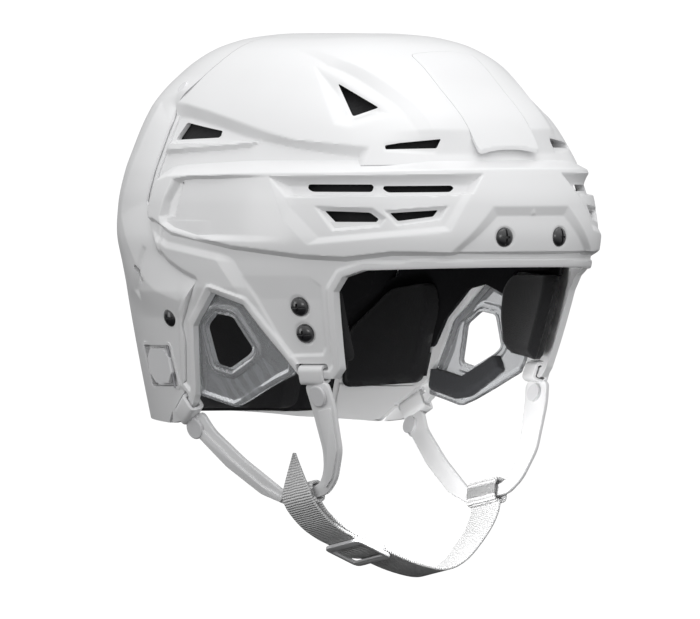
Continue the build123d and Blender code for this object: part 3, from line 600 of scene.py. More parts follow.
right_lower_tub = corner((383, 208), (450, 203), (441, 217), (396, 223.5))
forehead_outer = [(-1, 110.0), (25.5, 110.0), (51.0, 83.0), (-1, 83.0)]
forehead_inner = [(-1, 105.5), (23.0, 105.5), (43.5, 86.5), (43.5, 83.0), (-1, 83.0)]
ridge_across = (-108.0, -100.0, -68.0, -32.0, -9.0, 15.0, 38.0, 92.0)
ridge_top = (103.5, 97.8, 89.6, 85.2, 84.0, 86.8, 86.5, 86.0)
ridge_foot = (98.6, 91.8, 84.6, 80.2, 79.6, 83.2, 83.6, 83.2)
bracket_rim = [
    (-200, 150), (43, 150), (45, 134), (49, 127), (51.5, 115), (54, 106.5), (51, 100), (45.5, 96), (35.5, 87),
    (-200, 60),
]
screw_apart, screw_level = 19.1, 94.0


def band_relief(points):
    """Top bevel, lower ridge, bracket, vent cluster and forehead panel, inwards from the band."""
    x, (y, z) = np.abs(points[..., 0]), side_view(points)
    u, w = corner_view(points)
    back = (-170.0, -133.0, -79.0, -21.0, 27.0, 38.0, 46.0, 60.0)
    top = np.interp(y, back, (139.5, 139.5, 138.0, 136.5, 134.0, 133.2, 131.5, 128.0))
    face = np.interp(y, back, (129.5, 129.5, 127.5, 126.8, 125.5, 125.0, 123.0, 119.0))
    out = np.interp(y, back, (9.5, 9.5, 7.5, 6.8, 6.6, 6.6, 6.6, 6.6))
    height = -out * ramp(z, face, top)
    ridge_high, ridge_low = (np.interp(u, ridge_across, edge) for edge in (ridge_top, ridge_foot))
    height -= 4.6 * ramp(-z, -ridge_high, -ridge_low)
    height -= 6.0 * ramp(-distance(bracket_rim, y, z), -1.5, 2.0)
    slope_width = 1.0 + 1.8 * ramp(-z, -112.0, -100.0)
    height -= 2.8 * np.clip(distance(panel_rear, y, z) / slope_width, 0.0, 1.0) * soft(ramp(-u, 36.0, 90.0))
    pocket = ramp(distance(bracket_pocket, y, z), 0.0, 0.9)
    height -= 2.6 * pocket * ramp(-(y + (z - 105.0) * 0.33), -42.0, -31.0)
    upper = tub(upper_tub, (4.2, 4.0, 1.4, 1.4, 4.5), u, w)
    height -= 4.4 * upper * (x > 8.0)
    height -= 1.5 * tub(cluster_frame, (4.2, 4.2, 3.2, 7.0, 4.5), u, w) * (1.0 - upper)
    for recess in (left_lower_tub, right_lower_tub):
        height -= 2.6 * ramp(distance(recess, u, w), 0.0, 2.2)
    for slot in (left_slot, right_slot, left_lower_vent, right_lower_vent):
        height += edge_dip(slot, u, w, 0.8, 0.4)
    height -= 2.2 * facet(forehead_outer, forehead_inner, x, z) * ramp(-y, 90.0, 100.0)
    seat = np.hypot(x - screw_apart, z - screw_level)
    return height - 0.7 * ramp(-seat, -6.1, -5.4)


band = wall(
    "raised_band", even_turns(-112.0, 112.0, 0.66), even_paths(76.0, 142.5, 0.62, True),
    band_relief, depth=8.6, band=True,
)
band_region = [
    (-170, 141.5), (-79, 140.0), (-21, 138.5), (29, 136.5), (46.5, 136.0), (51.5, 128.5), (54, 116.5),
    (56, 107.0), (53, 100), (46.5, 95), (36, 86.5), (26, 83.5), (-10, 79.8), (-40, 77.5), (-60, 77.0),
    (-100, 80.5), (-115, 82.5), (-170, 82.5),
]


def disc_outline(diameter, sides=32):
    """Circle round the origin, as a regular polygon."""
    turns = np.linspace(0.0, 2.0 * math.pi, sides + 1)[:-1]
    return np.stack([np.cos(turns), np.sin(turns)], -1) * diameter / 2.0


screw_hole = 4.5
band = shaped(band, keep=[through(band_region)], cut=[
    bar(disc_outline(screw_hole, 23) + (side * screw_apart, screw_level), front_axes, -200.0, -80.0)
    for side in (-1, 1)
] + [through(bracket_slit)] + from_corner(left_slot, right_slot, left_lower_vent, right_lower_vent))
finished(band, shell_white, "shell")


# Lower front shell, moulded in one with the band: the brim's lip, the cheeks with their two
# screws, the strap tabs and the front half of each ear opening.
rim = [
    (-160.0, 79.6), (-88.9, 77.0), (-78.8, 73.5), (-72.9, 65.9), (-69.7, 44.9), (-66.5, 25.9), (-61.8, 21.0),
    (-43.9, 21.0), (-40.7, 25.9), (-35.9, 33.1), (-15.9, 59.0), (5.9, 65.3), (24.9, 47.9), (27.0, 40.0),
    (33.1, 17.0), (35.0, 12.1), (38.2, 8.3), (52.0, -1.2),
]
lower_region = rim + [(63.0, -2.4), (60.3, 4.6), (49.1, 13.9), (40.6, 19.8)] + [
    (34.2, 39.8), (34.2, 48.3), (17.2, 71.5), (26.8, 75.0), (37.4, 80.2), (45.4, 86.9), (49.9, 97.0),
    (52.5, 101.0), (40, 112), (-160, 112),
]
brim_line = rim[:17] + [(60.0, 30.0), (40, 112), (-160, 112)]
tab_frame = [
    (-39.6, 32.6), (-58.8, 33.2), (-61.4, 37.0), (-66.0, 68.7), (-58.0, 76.0), (-13.0, 83.0), (-12.0, 81.0),
    (-24.4, 63.2),
]
side_screw_y, side_screw_levels = -51.0, (44.05, 57.95)


def lower_relief(points):
    """Bead along the brim, the cheek's front edge and the ear opening, and the tab's sunk face."""
    y, z = side_view(points)
    edge = distance(brim_line, y, z)
    height = 1.15 * (ramp(edge, 4.6, 3.7) - 0.45 * ramp(edge, 1.0, -0.4))
    behind = (y + 26.0 - (z - 63.9) * 0.70) * 0.82
    below_band = ramp(np.interp(corner_view(points)[0], ridge_across, ridge_foot) - z, 0.5, 3.5)
    inside = ramp(distance(lower_region, y, z), 0.0, 3.0)
    height += 1.5 * ramp(behind, 0.0, 9.0) * inside * ramp(z, 58.0, 68.0) * below_band
    height -= 0.9 * ramp(distance(tab_frame, y, z), -0.4, 0.7) * ramp(-z, -74.0, -62.0)
    for level in side_screw_levels:
        seat = np.hypot(y - side_screw_y, z - level)
        height -= 0.6 * ramp(-seat, -5.9, -5.2)
    return height


lower = wall(
    "cheeks", even_turns(-124.0, 124.0, 0.74, 60.0), even_paths(-9.0, 102.0, 0.74),
    lower_relief, depth=2.7,
)


def unit(vectors):
    """The vectors at length 1."""
    return vectors / np.linalg.norm(vectors, axis=-1, keepdims=True)


def place_at(turn, share, band=False):
    """Point of the form at a turn and a path share, with its forward, up and outward directions."""
    points, normals = form_grid([turn], [share], 0.0, band)
    outwards = normals[0, 0]
    forwards = unit(np.cross(z_axis, outwards))
    return points[0, 0], forwards, np.cross(outwards, forwards), outwards


def place_on_form(back, level):
    """Place on the right half at a distance back and a level."""
    share = path_at(level)
    fine = np.linspace(0.5, 179.5, 2000)
    ring = form_points(fine, [share])[0]
    return place_at(float(np.interp(back, ring[:, 1], fine)), share)


def leaned(place, angle):
    """The place turned in its own plane by an angle in degrees, its front end upwards."""
    point, forwards, up, outwards = place
    cosine, sine = math.cos(math.radians(angle)), math.sin(math.radians(angle))
    return point, cosine * forwards + sine * up, cosine * up - sine * forwards, outwards


def corners_of(thing):
    """The object's vertices, in metres."""
    flat = np.empty(len(thing.data.vertices) * 3)
    thing.data.vertices.foreach_get("co", flat)
    return flat.reshape(-1, 3)


def slab(place, outline, low, high, mirrored=False):
    """Prism of an outline on a place, between two heights along its normal."""
    point, forwards, up, outwards = place
    thing = bar(outline, (forwards, up, outwards), low, high)
    vertices = corners_of(thing) + point * 0.001
    if mirrored:
        vertices[:, 0] *= -1.0
        thing.data.flip_normals()
    thing.data.vertices.foreach_set("co", vertices.ravel())
    return thing


def slabs(*parts):
    """Slabs on the right side, each with its mirror image, from their places, outlines and heights."""
    return [slab(*part, mirrored) for part in parts for mirrored in (False, True)]


front_slot = place_on_form(-51.0, 27.0)
rear_slot = leaned(place_on_form(49.0, 8.5), 33.9)
side_screw_spots = [place_on_form(side_screw_y, level) for level in side_screw_levels]
lower = shaped(lower, keep=[through(lower_region)], cut=slabs(
    (front_slot, box_outline(18.6, 3.6, 1.2), -9.0, 9.0),
    (rear_slot, box_outline(18.6, 3.8, 1.2), -9.0, 9.0),
    *[(spot, disc_outline(screw_hole), -9.0, 9.0) for spot in side_screw_spots],
))
finished(lower, shell_white, "shell")


# Lap of the front shell: the smooth white wall under the rear shell, seen as that slides back.
# It is slotted for the screws, the latches and the strap.
lap_rear = [
    (88.3, 5.1), (88.3, 42.0), (68.0, 62.0), (67.0, 75.0), (73.9, 92.1), (81.9, 112.1), (80.0, 138.0),
    (81.9, 153.1), (81.6, 163.0), (70.4, 172.1), (60.8, 185.9), (55.0, 199.0), (52.8, 221.8),
]
rear_screw_spot = place_on_form(45.0, 52.0)
latch_spot = place_on_form(65.0, 27.0)
corner_slot = leaned(place_on_form(65.7, 74.7), -49.0)


def shifted(place, ahead):
    """The place moved forwards along its own surface."""
    point, forwards, up, outwards = place
    return point + ahead * forwards, forwards, up, outwards


def no_relief(points):
    """Height 0 everywhere."""
    return np.zeros(points.shape[:2])


lap = wall(
    "lap", even_turns(80.0, 280.0, 2.0, 100.0), even_paths(-2.0, None, 2.2), no_relief, shell_wall, inset=3.0,
)
lap = shaped(lap, keep=[through([(y - 3.7, z) for y, z in seam] + lap_rear[::-1])], cut=slabs(
    (shifted(rear_screw_spot, -6.0), box_outline(21.2, 9.2, 4.4), -20.0, 4.0),
    (shifted(latch_spot, -6.0), box_outline(47.4, 26.4, 3.0), -20.0, 4.0),
    (rear_slot, box_outline(18.6, 3.8), -20.0, 4.0),
    (corner_slot, box_outline(12.5, 4.6), -20.0, 4.0),
))
finished(lap, shell_white, "shell")


# Rear shell: one white moulded wall from the crown seam to the nape, with the wedge along its
# front edge, the pocket of each latch and its vents. It slides on the lap to set the size.
wedge_foot = [
    (33, 61), (50, 66), (59, 71), (67, 80), (78, 96), (85, 104), (85, 110), (81.5, 123), (77, 138),
    (73, 153.5), (71.5, 162),
]
wedge_outer = [(10, 66)] + wedge_foot + [(60, 168), (30, 168), (10, 120)]
wedge_inner = [(10, 69)] + [(y + 1.2, z) for y, z in seam[6:17]] + [(30, 164), (8, 120)]
ear_edge = [
    (33.1, 17.0), (27.0, 40.0), (24.9, 47.9), (5.9, 65.3), (-15.9, 59.0), (-35.9, 33.1), (-36, 10), (33, 10),
]


def rear_relief(points):
    """Wedge by the seam, the ear opening's raised edge and the dip round the small slot."""
    y, z = side_view(points)
    fall = facet(wedge_outer, wedge_inner, y, z)
    away = soft(ramp(-distance(wedge_outer, y, z), 6.0, 36.0))
    height = (2.4 * (1.0 - away) - 4.1 * fall) * ramp(-z, -176.0, -160.0) * ramp(z, 52.0, 66.0)
    ear = distance(ear_edge, y, z)
    height += 1.0 * ramp(-ear, 12.5, 11.5) * ramp(z, 10.0, 20.0) * ramp(-z, -72.0, -64.0)
    slot_dip = distance([(56, 88), (61, 90), (77, 66), (70, 60)], y, z)
    return height - 1.2 * soft(ramp(slot_dip, 0.0, 4.0))


rear = wall(
    "rear_wall", even_turns(86.0, 274.0, 0.9, 100.0), even_paths(-6.0, None, 0.95),
    rear_relief, shell_wall,
)
rear_edge = [(205.0, 221.8), (205.0, 7.9), (135.0, 5.0), (105.6, 0.0)]
pocket_outline = box_outline(31.0, 22.0, 2.0)
vent_outline = box_outline(9.0, 26.0, 1.5)
rear = shaped(rear, keep=[through(seam + rear_edge)], cut=slabs(
    (latch_spot, pocket_outline, -12.0, 12.0),
    (rear_screw_spot, disc_outline(screw_hole), -12.0, 12.0),
    (corner_slot, box_outline(11.5, 3.2, 1.0), -9.0, 9.0),
) + [
    bar(vent_outline + (33.0 * side, level), front_axes, 60.0, 220.0)
    for level in (128.0, 88.0) for side in (-1, 1)
])
finished(rear, shell_white, "rear", nodes=["rear_shell"])
for side, mirrored in (("right", False), ("left", True)):
    tray = slab(latch_spot, box_outline(34.2, 25.2, 3.0), -5.0, -0.5, mirrored)
    tray.name = "latch_pocket_" + side
    tray = shaped(tray, cut=[
        slab(latch_spot, pocket_outline, -3.4, 9.0, mirrored),
        slab(shifted(latch_spot, -1.3), box_outline(7.8, 5.2, 1.0), -9.0, 0.0, mirrored),
    ])
    finished(tray, shell_white, "rear")


# Ear guards: plates moulded in clear polycarbonate and held in the ear openings, each with a
# bead along its edge and a raised ring round its window.
def mirror_copy(thing, name):
    """The same object on the other side of the helmet."""
    mesh = thing.data.copy()
    mesh.name = name
    points = corners_of(thing)
    points[:, 0] *= -1.0
    mesh.vertices.foreach_set("co", points.ravel())
    mesh.flip_normals()
    other = bpy.data.objects.new(name, mesh)
    bpy.context.scene.collection.objects.link(other)
    return other


def both_sides(thing, material, body, sharp=38.0, node=""):
    """The right side's object and its mirror image, finished alike, each for its own side's node."""
    pair = (thing, mirror_copy(thing, thing.name.replace("right", "left")))
    for piece, side in zip(pair, ("right", "left")):
        finished(piece, material, body, sharp, [node + side] if node else ())
    return pair


guard_clear, clear_tree, clear_shader = new_material("guard_clear")
haze = add_node(clear_tree, "TexNoise", {"Scale": 90.0}, {
    "Vector": add_node(clear_tree, "TexCoord").outputs["Object"],
}).outputs["Fac"]
clear_gloss = add_node(clear_tree, "MapRange", {"To Min": 0.03, "To Max": 0.11}, {"Value": haze})
set_inputs(clear_tree, clear_shader, {
    "Base Color": (0.66, 0.67, 0.685, 1.0), "Transmission Weight": 0.72, "IOR": 1.46,
}, {"Roughness": clear_gloss.outputs["Result"]})
guard_edge = [
    (35.5, 11.9), (9.4, 5.9), (0.1, 8.9), (-26.8, 19.8), (-35.9, 23.0), (-39.1, 30.9), (-21.0, 64.2),
    (5.9, 70.7), (28.1, 49.5), (29.9, 40.6), (35.5, 17.0),
]
window_outline = rounded([
    (19.3, 47.9), (9.9, 54.6), (-3.9, 52.7), (-14.0, 36.4), (-10.6, 33.3), (5.9, 25.9), (17.4, 28.3),
], 2.2)


def guard_relief(points):
    """Bead along the edge, and the ring's two steps round the window."""
    y, z = side_view(points)
    edge = distance(guard_edge, y, z)
    window = -distance(window_outline, y, z)
    bead = 0.9 * ramp(edge, 3.4, 2.6) * ramp(edge, 0.0, 0.8)
    return bead + 1.3 * ramp(window, 5.2, 3.6) - 0.7 * ramp(window, 2.4, 1.6) + 0.5 * ramp(window, 1.0, 0.4)


guard = wall(
    "guard_right", even_turns(52.0, 128.0, 0.7, 45.0), even_paths(-2.0, 78.0, 0.7), guard_relief, depth=1.8,
    inset=3.3, inner_rows=100,
)
guard = shaped(guard, keep=[through(rounded(guard_edge, 2.0), 0.0)], cut=[through(window_outline, 0.0)])
both_sides(guard, guard_clear, "shell", node="ear_guard_")


# Temple and side pads: soft foam under black brushed cloth, glued inside the shell in front of
# and behind each ear opening.
def foam(name, colour, cell=1400.0, bumpiness=0.5, sheen=0.15):
    """Foam or brushed cloth: small cells in the height, and a slow mottle in the colour."""
    material, tree, shader = new_material(name)
    place = add_node(tree, "TexCoord").outputs["Object"]
    cells = add_node(tree, "TexVoronoi", {"Scale": cell}, {"Vector": place}).outputs["Distance"]
    slow = add_node(tree, "TexNoise", {"Scale": 60.0, "Detail": 4.0}, {"Vector": place}).outputs["Fac"]
    shade = add_node(tree, "MapRange", {"To Min": 0.75, "To Max": 1.3}, {"Value": slow})
    tone = add_node(tree, "HueSaturation", {"Color": (*colour, 1.0)}, {"Value": shade.outputs["Result"]})
    bump = add_node(tree, "Bump", {"Strength": bumpiness, "Distance": 0.0004}, {"Height": cells})
    set_inputs(tree, shader, {"Roughness": 0.85, "Sheen Weight": sheen}, {
        "Base Color": tone.outputs["Color"], "Normal": bump.outputs["Normal"],
    })
    return material


def quarter_round(share):
    """Quarter circle from 0 to 1: the root of 1 less the square of what the share lacks."""
    return np.sqrt(np.clip(1.0 - (1.0 - share) ** 2, 0.0, 1.0))


def pad(name, outline, inset, thickness, turns, levels, step=1.4, round_edge=4.0, corners=5.0):
    """Foam pad that follows the shell and thins to its edge, along a quarter circle, on both faces."""
    outline = rounded(outline, corners)

    def fullness(points):
        """Quarter circle of the nearness to the edge: 0 on the outline, 1 inside the rounding."""
        return quarter_round(ramp(distance(outline, *side_view(points)), -0.2, round_edge))

    thing = wall(
        name, even_turns(*turns, step, 60.0), even_paths(*levels, step),
        lambda points: -0.16 * thickness * (1.0 - fullness(points)),
        lambda points: thickness * (0.45 + 0.55 * fullness(points)), inset=inset, inner_rows=400,
    )
    return shaped(thing, keep=[through(outline)])


pad_black = foam("pad_black", (0.012, 0.012, 0.013))
temple_outline = [
    (-66.5, 29.7), (-29.0, 33.7), (-19.6, 49.5), (-17.0, 65.3), (-25.0, 73.7), (-64.9, 73.7), (-68.1, 65.3),
]
side_outline = [(36.9, 17.8), (81.6, 14.9), (84.8, 43.6), (65.6, 65.3), (41.6, 69.3), (35.8, 57.4)]
for part, outline, inset, thickness, turns, levels in (
    ("temple_pad", temple_outline, 6.0, 9.0, (40.0, 118.0), (20.0, 84.0)),
    ("side_pad", side_outline, 8.6, 8.4, (88.0, 160.0), (6.0, 80.0)),
):
    cushion = pad(part + "_cushion_right", outline, inset, thickness, turns, levels)
    for piece in both_sides(cushion, pad_black, "shell", 60.0, part + "_"):
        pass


# Side linings: black foam sheet, 2 thick, glued inside the front shell above each ear opening
# and round behind it.
foam_black = foam("foam_black", (0.009, 0.009, 0.010), cell=500.0, bumpiness=0.35, sheen=0.0)
lining_outline = [
    (-66.0, 73.0), (-17.0, 75.0), (-17.5, 61.5), (5.5, 68.5), (18.5, 66.0), (31.5, 51.0), (36.5, 36.0),
    (88.0, 36.0), (86.0, 62.0), (66.0, 73.0), (73.0, 94.0), (-66.0, 94.0),
]
lining = wall(
    "side_lining_right", even_turns(40.0, 160.0, 2.0, 80.0), even_paths(30.0, 98.0, 2.0), no_relief,
    depth=2.0, inset=6.0,
)
lining = shaped(lining, keep=[through(rounded(lining_outline, 2.0), 0.0)])
for piece in both_sides(lining, foam_black, "shell", 60.0):
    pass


# Ear foam: a dark foam pad glued behind the lower edge of each guard, with pale slanted
# streaks printed on its outer face.
ear_print = foam("ear_print", (0.05, 0.05, 0.055), cell=900.0, bumpiness=0.3)
print_tree = ear_print.node_tree
slanted = add_node(print_tree, "Mapping", {"Rotation": (math.radians(24.0), 0.0, 0.0)}, {
    "Vector": add_node(print_tree, "TexCoord").outputs["Object"],
}).outputs["Vector"]
streaks = add_node(print_tree, "TexWave", {
    "Scale": 40.0, "Distortion": 5.0, "Detail": 2.0, "Detail Scale": 1.2,
}, {"Vector": slanted}, bands_direction="Y")
face = add_node(print_tree, "NewGeometry")
place_x, normal_x = (
    add_node(print_tree, "SeparateXYZ", {}, {0: face.outputs[kind]}).outputs["X"]
    for kind in ("Position", "Normal")
)
outer_side = add_node(print_tree, "Math", {}, {0: place_x, 1: normal_x}, operation="MULTIPLY")
on_outside = add_node(print_tree, "Math", {1: 0.0}, {0: outer_side.outputs[0]}, operation="GREATER_THAN")
streak_share = add_node(print_tree, "Math", {}, {
    0: streaks.outputs["Fac"], 1: on_outside.outputs[0],
}, operation="MULTIPLY")
ink = add_node(print_tree, "ValToRGB", {}, {"Fac": streak_share.outputs[0]})
dark_stop, pale_stop = ink.color_ramp.elements
dark_stop.position, dark_stop.color = 0.50, (0.045, 0.046, 0.05, 1.0)
pale_stop.position, pale_stop.color = 0.60, (0.20, 0.205, 0.215, 1.0)
set_inputs(print_tree, print_tree.nodes["Principled BSDF"], {}, {"Base Color": ink.outputs["Color"]})
ear_outline = [
    (33.9, 24.9), (25.9, 24.0), (9.1, 20.4), (-7.1, 27.9), (-15.9, 32.3), (-23.9, 24.2), (0.1, 10.7),
    (11.0, 9.3), (32.6, 14.1),
]
ear_pad = pad(
    "ear_cushion_right", ear_outline, 5.4, 5.0, (60.0, 128.0), (0.0, 44.0), step=1.2, round_edge=1.6,
    corners=1.6,
)
for piece in both_sides(ear_pad, ear_print, "shell", 60.0, "ear_foam_"):
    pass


# Liners: thick black foam moulded with channels in its inner face, glued under the crown and
# inside the rear shell. A strip of the same foam closes the small slot in each rear side.
def channel(gap):
    """1 within 2.4 of a channel's middle line, 0 beyond 4.0, and straight between."""
    return ramp(-gap, -4.0, -2.4)


def front_channels(points):
    """Grooves from front to back and across, 3.5 deep, in the liner's inner face."""
    x, y = np.abs(points[..., 0]), points[..., 1]
    along = np.minimum(np.abs(x - 27.0), np.abs(x - 62.0))
    across = np.minimum(np.abs(y + 60.0), np.abs(y - 5.0))
    return 3.5 * np.maximum(channel(along), channel(across))


liner_outline = [
    (-171.6, 84.0), (-59.6, 84.0), (-54.8, 76.0), (9.9, 76.0), (33.9, 84.0), (48.0, 96.0), (60.0, 118.0),
    (61.9, 150.1), (60.3, 163.0), (52.3, 172.1), (44.3, 185.9), (40.3, 199.0), (38.5, 221.8), (-171.6, 221.8),
]
front_liner = wall(
    "crown_liner", turns_all_round(2.2), even_paths(70.0, None, 2.2), no_relief,
    lambda points: 12.0 - front_channels(points), inset=7.0, ring=True, inner_rows=400,
)
front_liner = shaped(front_liner, keep=[through(liner_outline)])
finished(front_liner, foam_black, "shell", sharp=50.0, nodes=["front_liner"])
rear_liner_outline = [
    (93.1, 3.4), (93.1, 44.9), (73.1, 64.0), (72.0, 75.0), (79.0, 92.1), (87.0, 112.1), (85.1, 138.0),
    (87.0, 153.1), (86.7, 163.0), (76.0, 172.1), (66.2, 185.9), (60.3, 199.0), (58.2, 221.8), (201.6, 221.8),
    (201.6, 8.6), (135.0, 5.8), (106.0, 2.6),
]
rear_liner = wall(
    "nape_liner", even_turns(88.0, 272.0, 2.2, 100.0), even_paths(2.0, None, 2.2), no_relief,
    lambda points: 13.5 - 3.0 * channel(np.abs(np.abs(points[..., 0]) - 30.0)), inset=3.0, inner_rows=400,
)
rear_liner = shaped(rear_liner, keep=[through(rear_liner_outline)])
finished(rear_liner, foam_black, "rear", sharp=50.0, nodes=["rear_liner"])
for side, mirrored in (("right", False), ("left", True)):
    backing = slab(corner_slot, box_outline(12.2, 3.9, 1.0), -3.2, -2.4, mirrored)
    backing.name = "slot_backing_" + side
    finished(backing, foam_black, "rear")


# Comfort pads at the brow, the nape and the crown: soft foam under black cloth, stuck to the
# inner faces of the liners.
brow = pad(
    "brow_cushion", [(-171.6, 85.9), (-51.6, 85.9), (-45.0, 110.9), (-171.6, 110.9)], 19.4, 6.0,
    (-75.0, 75.0), (80.0, 118.0), step=1.6, round_edge=3.0,
)
finished(brow, pad_black, "shell", sharp=60.0, nodes=["brow_pad"])
nape = pad(
    "nape_cushion", [(95.0, 4.2), (201.6, 6.5), (201.6, 53.5), (95.0, 53.5)], 16.9, 7.5,
    (120.0, 240.0), (0.0, 62.0), step=1.6, round_edge=3.0,
)
finished(nape, pad_black, "rear", sharp=60.0, nodes=["occipital_pad"])
crown_pad_outline = box_outline(68.0, 96.0, 14.0)


def crown_pad_depth(points):
    """Thickness of the crown pad: 5 in the middle, and 2 at its edge, along a quarter circle."""
    edge = ramp(distance(crown_pad_outline, points[..., 0], points[..., 1]), -0.3, 6.0)
    return 2.0 + 3.0 * quarter_round(edge)


crown_cushion = wall(
    "crown_cushion", np.linspace(0.0, 360.0, 181)[:-1], even_paths(150.0, None, 1.8), no_relief,
    crown_pad_depth, inset=19.4, ring=True, inner_rows=400,
)
crown_cushion = shaped(crown_cushion, keep=[bar(crown_pad_outline, top_axes, 90.0, 230.0)])
finished(crown_cushion, pad_black, "shell", sharp=60.0, nodes=["crown_pad"])


# Screws and nuts: domed black steel screws with crossed slots, turned into plain steel nuts
# inside. Two are at the brow, two on each cheek, and one on each side of the rear shell.
screw_black = moulded("screw_black", (0.02, 0.02, 0.022), 0.3, grain=0.02, coat=0.8)
steel = moulded("steel", (0.5, 0.5, 0.52), 0.3, grain=0.02, metal=1.0)


def joined(things, name):
    """One object from several, which are then removed."""
    vertices, faces, base = [], [], 0
    for thing in things:
        vertices.append(corners_of(thing))
        faces += [[base + i for i in face.vertices] for face in thing.data.polygons]
        base += len(thing.data.vertices)
        bpy.data.objects.remove(thing)
    return object_of(name, np.concatenate(vertices) * 1000.0, faces)


def screw_heads(name, places, low, long_way=8.4, short_way=4.4):
    """Screw heads 10.2 wide: a profile of radius and height spun round each place's normal.

    Each closes in a point above and below, and has a long slot cut in it and a short one across.
    """
    radius = np.array([1.8, 3.3, 4.4, 5.0, 5.1, 5.1])[:, None, None]
    height = np.array([2.2, 1.7, 0.9, 0.0, -0.5, -1.6])[:, None, None]
    tip_heights = np.array([[2.4], [-1.6]])
    spin = np.linspace(0.0, 2.0 * math.pi, 41)[:-1, None]
    index = np.arange(len(radius) * len(spin)).reshape(len(radius), len(spin))
    following = np.roll(index, -1, axis=1)
    top, bottom = np.full(len(spin), index.size), np.full(len(spin), index.size + 1)
    faces = np.stack([index[:-1], index[1:], following[1:], following[:-1]], -1).reshape(-1, 4).tolist()
    faces += np.stack([top, index[0], following[0]], -1).tolist()
    faces += np.stack([bottom, following[-1], index[-1]], -1).tolist()
    heads = []
    for place in places:
        point, forwards, up, outwards = place
        rings = point + radius * (np.cos(spin) * forwards + np.sin(spin) * up) + (low + height) * outwards
        tips = point + (low + tip_heights) * outwards
        head = object_of(name, np.concatenate([rings.reshape(-1, 3), tips]), faces)
        heads.append(shaped(head, cut=[
            slab(place, box_outline(*sides), low + 0.8, low + 4.0)
            for sides in ((1.1, long_way), (short_way, 1.1))
        ]))
    return joined(heads, name)


def brow_place(across, level):
    """Place on the raised band's front at a distance to the right and a level."""
    share = path_at(level, True)
    fine = np.linspace(0.5, 60.0, 1000)
    turn = float(np.interp(across, -form_points(fine, [share], 0.0, True)[0][:, 0], fine))
    return place_at(turn, share, True)


def dressed(material, *names):
    """CAD nodes that stay in view, with their own finish."""
    for name in names:
        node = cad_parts[name]
        node.data.materials.clear()
        node.data.materials.append(material)


brow_right = screw_heads("brow_screws", [brow_place(screw_apart, screw_level)], -2.7)
brow_screws = joined([mirror_copy(brow_right, "brow_screw_left"), brow_right], "brow_screws")
finished(brow_screws, screw_black, "shell", sharp=32.0, nodes=["visor_screws"])
for name, places, low, body, node in (
    ("cheek_screws_right", side_screw_spots, -0.3, "shell", "side_screws_"),
    ("nape_screw_right", [rear_screw_spot], -0.2, "rear", "rear_screw_"),
):
    both_sides(screw_heads(name, places, low, 4.4, 8.4), screw_black, body, 32.0, node)
dressed(steel, "visor_nuts", "side_nuts_right", "side_nuts_left", "rear_nut_right", "rear_nut_left")


# Size latches and crown studs: glossy white plastic levers on steel pins, over black slotted
# racks on the lap, and white studs pressed into the rear shell. All keep their CAD shapes.
latch_white = moulded("latch_white", (0.80, 0.80, 0.81), 0.26, coat=0.3)
dressed(steel, "latch_pin_right", "latch_pin_left")
dressed(latch_white, "latch_right", "latch_left", "crown_studs")
dressed(moulded("rack_black", (0.02, 0.02, 0.021), 0.4), "size_rack_right", "size_rack_left")


# Strap loops: straps moulded in white plastic, which hook through two slots of the shell and
# hang in a leaning plane, with a narrow raised panel on each arm and two snaps.
strap_white = moulded("strap_white", (0.78, 0.78, 0.785), 0.38, grain=0.06)
front_bar = np.array([-76.62, -50.86, 23.44])
loop_lean = math.radians(14.0)
loop_axis = unit(np.array([0.0048, 0.9848, -0.1738]))
loop_out = unit(np.cross(loop_axis, -z_axis))
loop_down = np.cross(loop_out, loop_axis)
loop_normal = loop_out * math.cos(loop_lean) + loop_down * math.sin(loop_lean)
loop_plane = (front_bar, loop_axis, np.cross(loop_normal, loop_axis), loop_normal)
loop_edge = [
    (-8.4, 5.6), (-8.4, 18.0), (-3.2, 42.2), (6.9, 56.1), (16.7, 62.0), (49.2, 62.0), (64.5, 53.6),
    (83.7, 35.3), (100.4, 14.0), (104.4, 8.1), (91.1, 3.7), (86.6, 14.9), (70.4, 33.8), (47.3, 55.8),
    (20.2, 55.8), (13.8, 49.6), (9.8, 39.7), (8.4, 18.0), (8.4, 3.7),
]
front_panel = [(-6.6, 19.0), (-1.4, 41.4), (8.2, 54.2), (15.5, 58.6), (11.0, 50.6), (5.6, 40.2), (3.6, 19.0)]
rear_panel = [
    (101.0, 12.6), (83.6, 35.0), (64.2, 53.0), (52.0, 59.6), (49.0, 57.6), (62.0, 49.2), (79.5, 31.2),
    (94.6, 11.6),
]


def bevelled(thing, width):
    """The object with its sharp edges rounded."""
    step = thing.modifiers.new("bevel", "BEVEL")
    step.width, step.segments, step.angle_limit = width * 0.001, 3, math.radians(30.0)
    step.limit_method = "ANGLE"
    return baked(thing)


def hook_ring(place, bottom, top=-0.9, thickness=1.8):
    """Band of strap round the bar under a slot, 14 wide."""
    point, forwards, up, outwards = place
    axes = (up, outwards, forwards)
    inner_face, outer_face = -3.9, 1.3
    outer = rounded([
        (bottom - thickness, outer_face + thickness), (top + thickness, outer_face + thickness),
        (top + thickness, inner_face - thickness), (bottom - thickness, inner_face - thickness),
    ], 3.0)
    inner = rounded([(bottom, outer_face), (top, outer_face), (top, inner_face), (bottom, inner_face)], 1.2)
    thing = shaped(bar(outer, axes, -7.0, 7.0), cut=[bar(inner, axes, -8.0, 8.0)])
    thing.data.vertices.foreach_set("co", (corners_of(thing) + point * 0.001).ravel())
    return thing


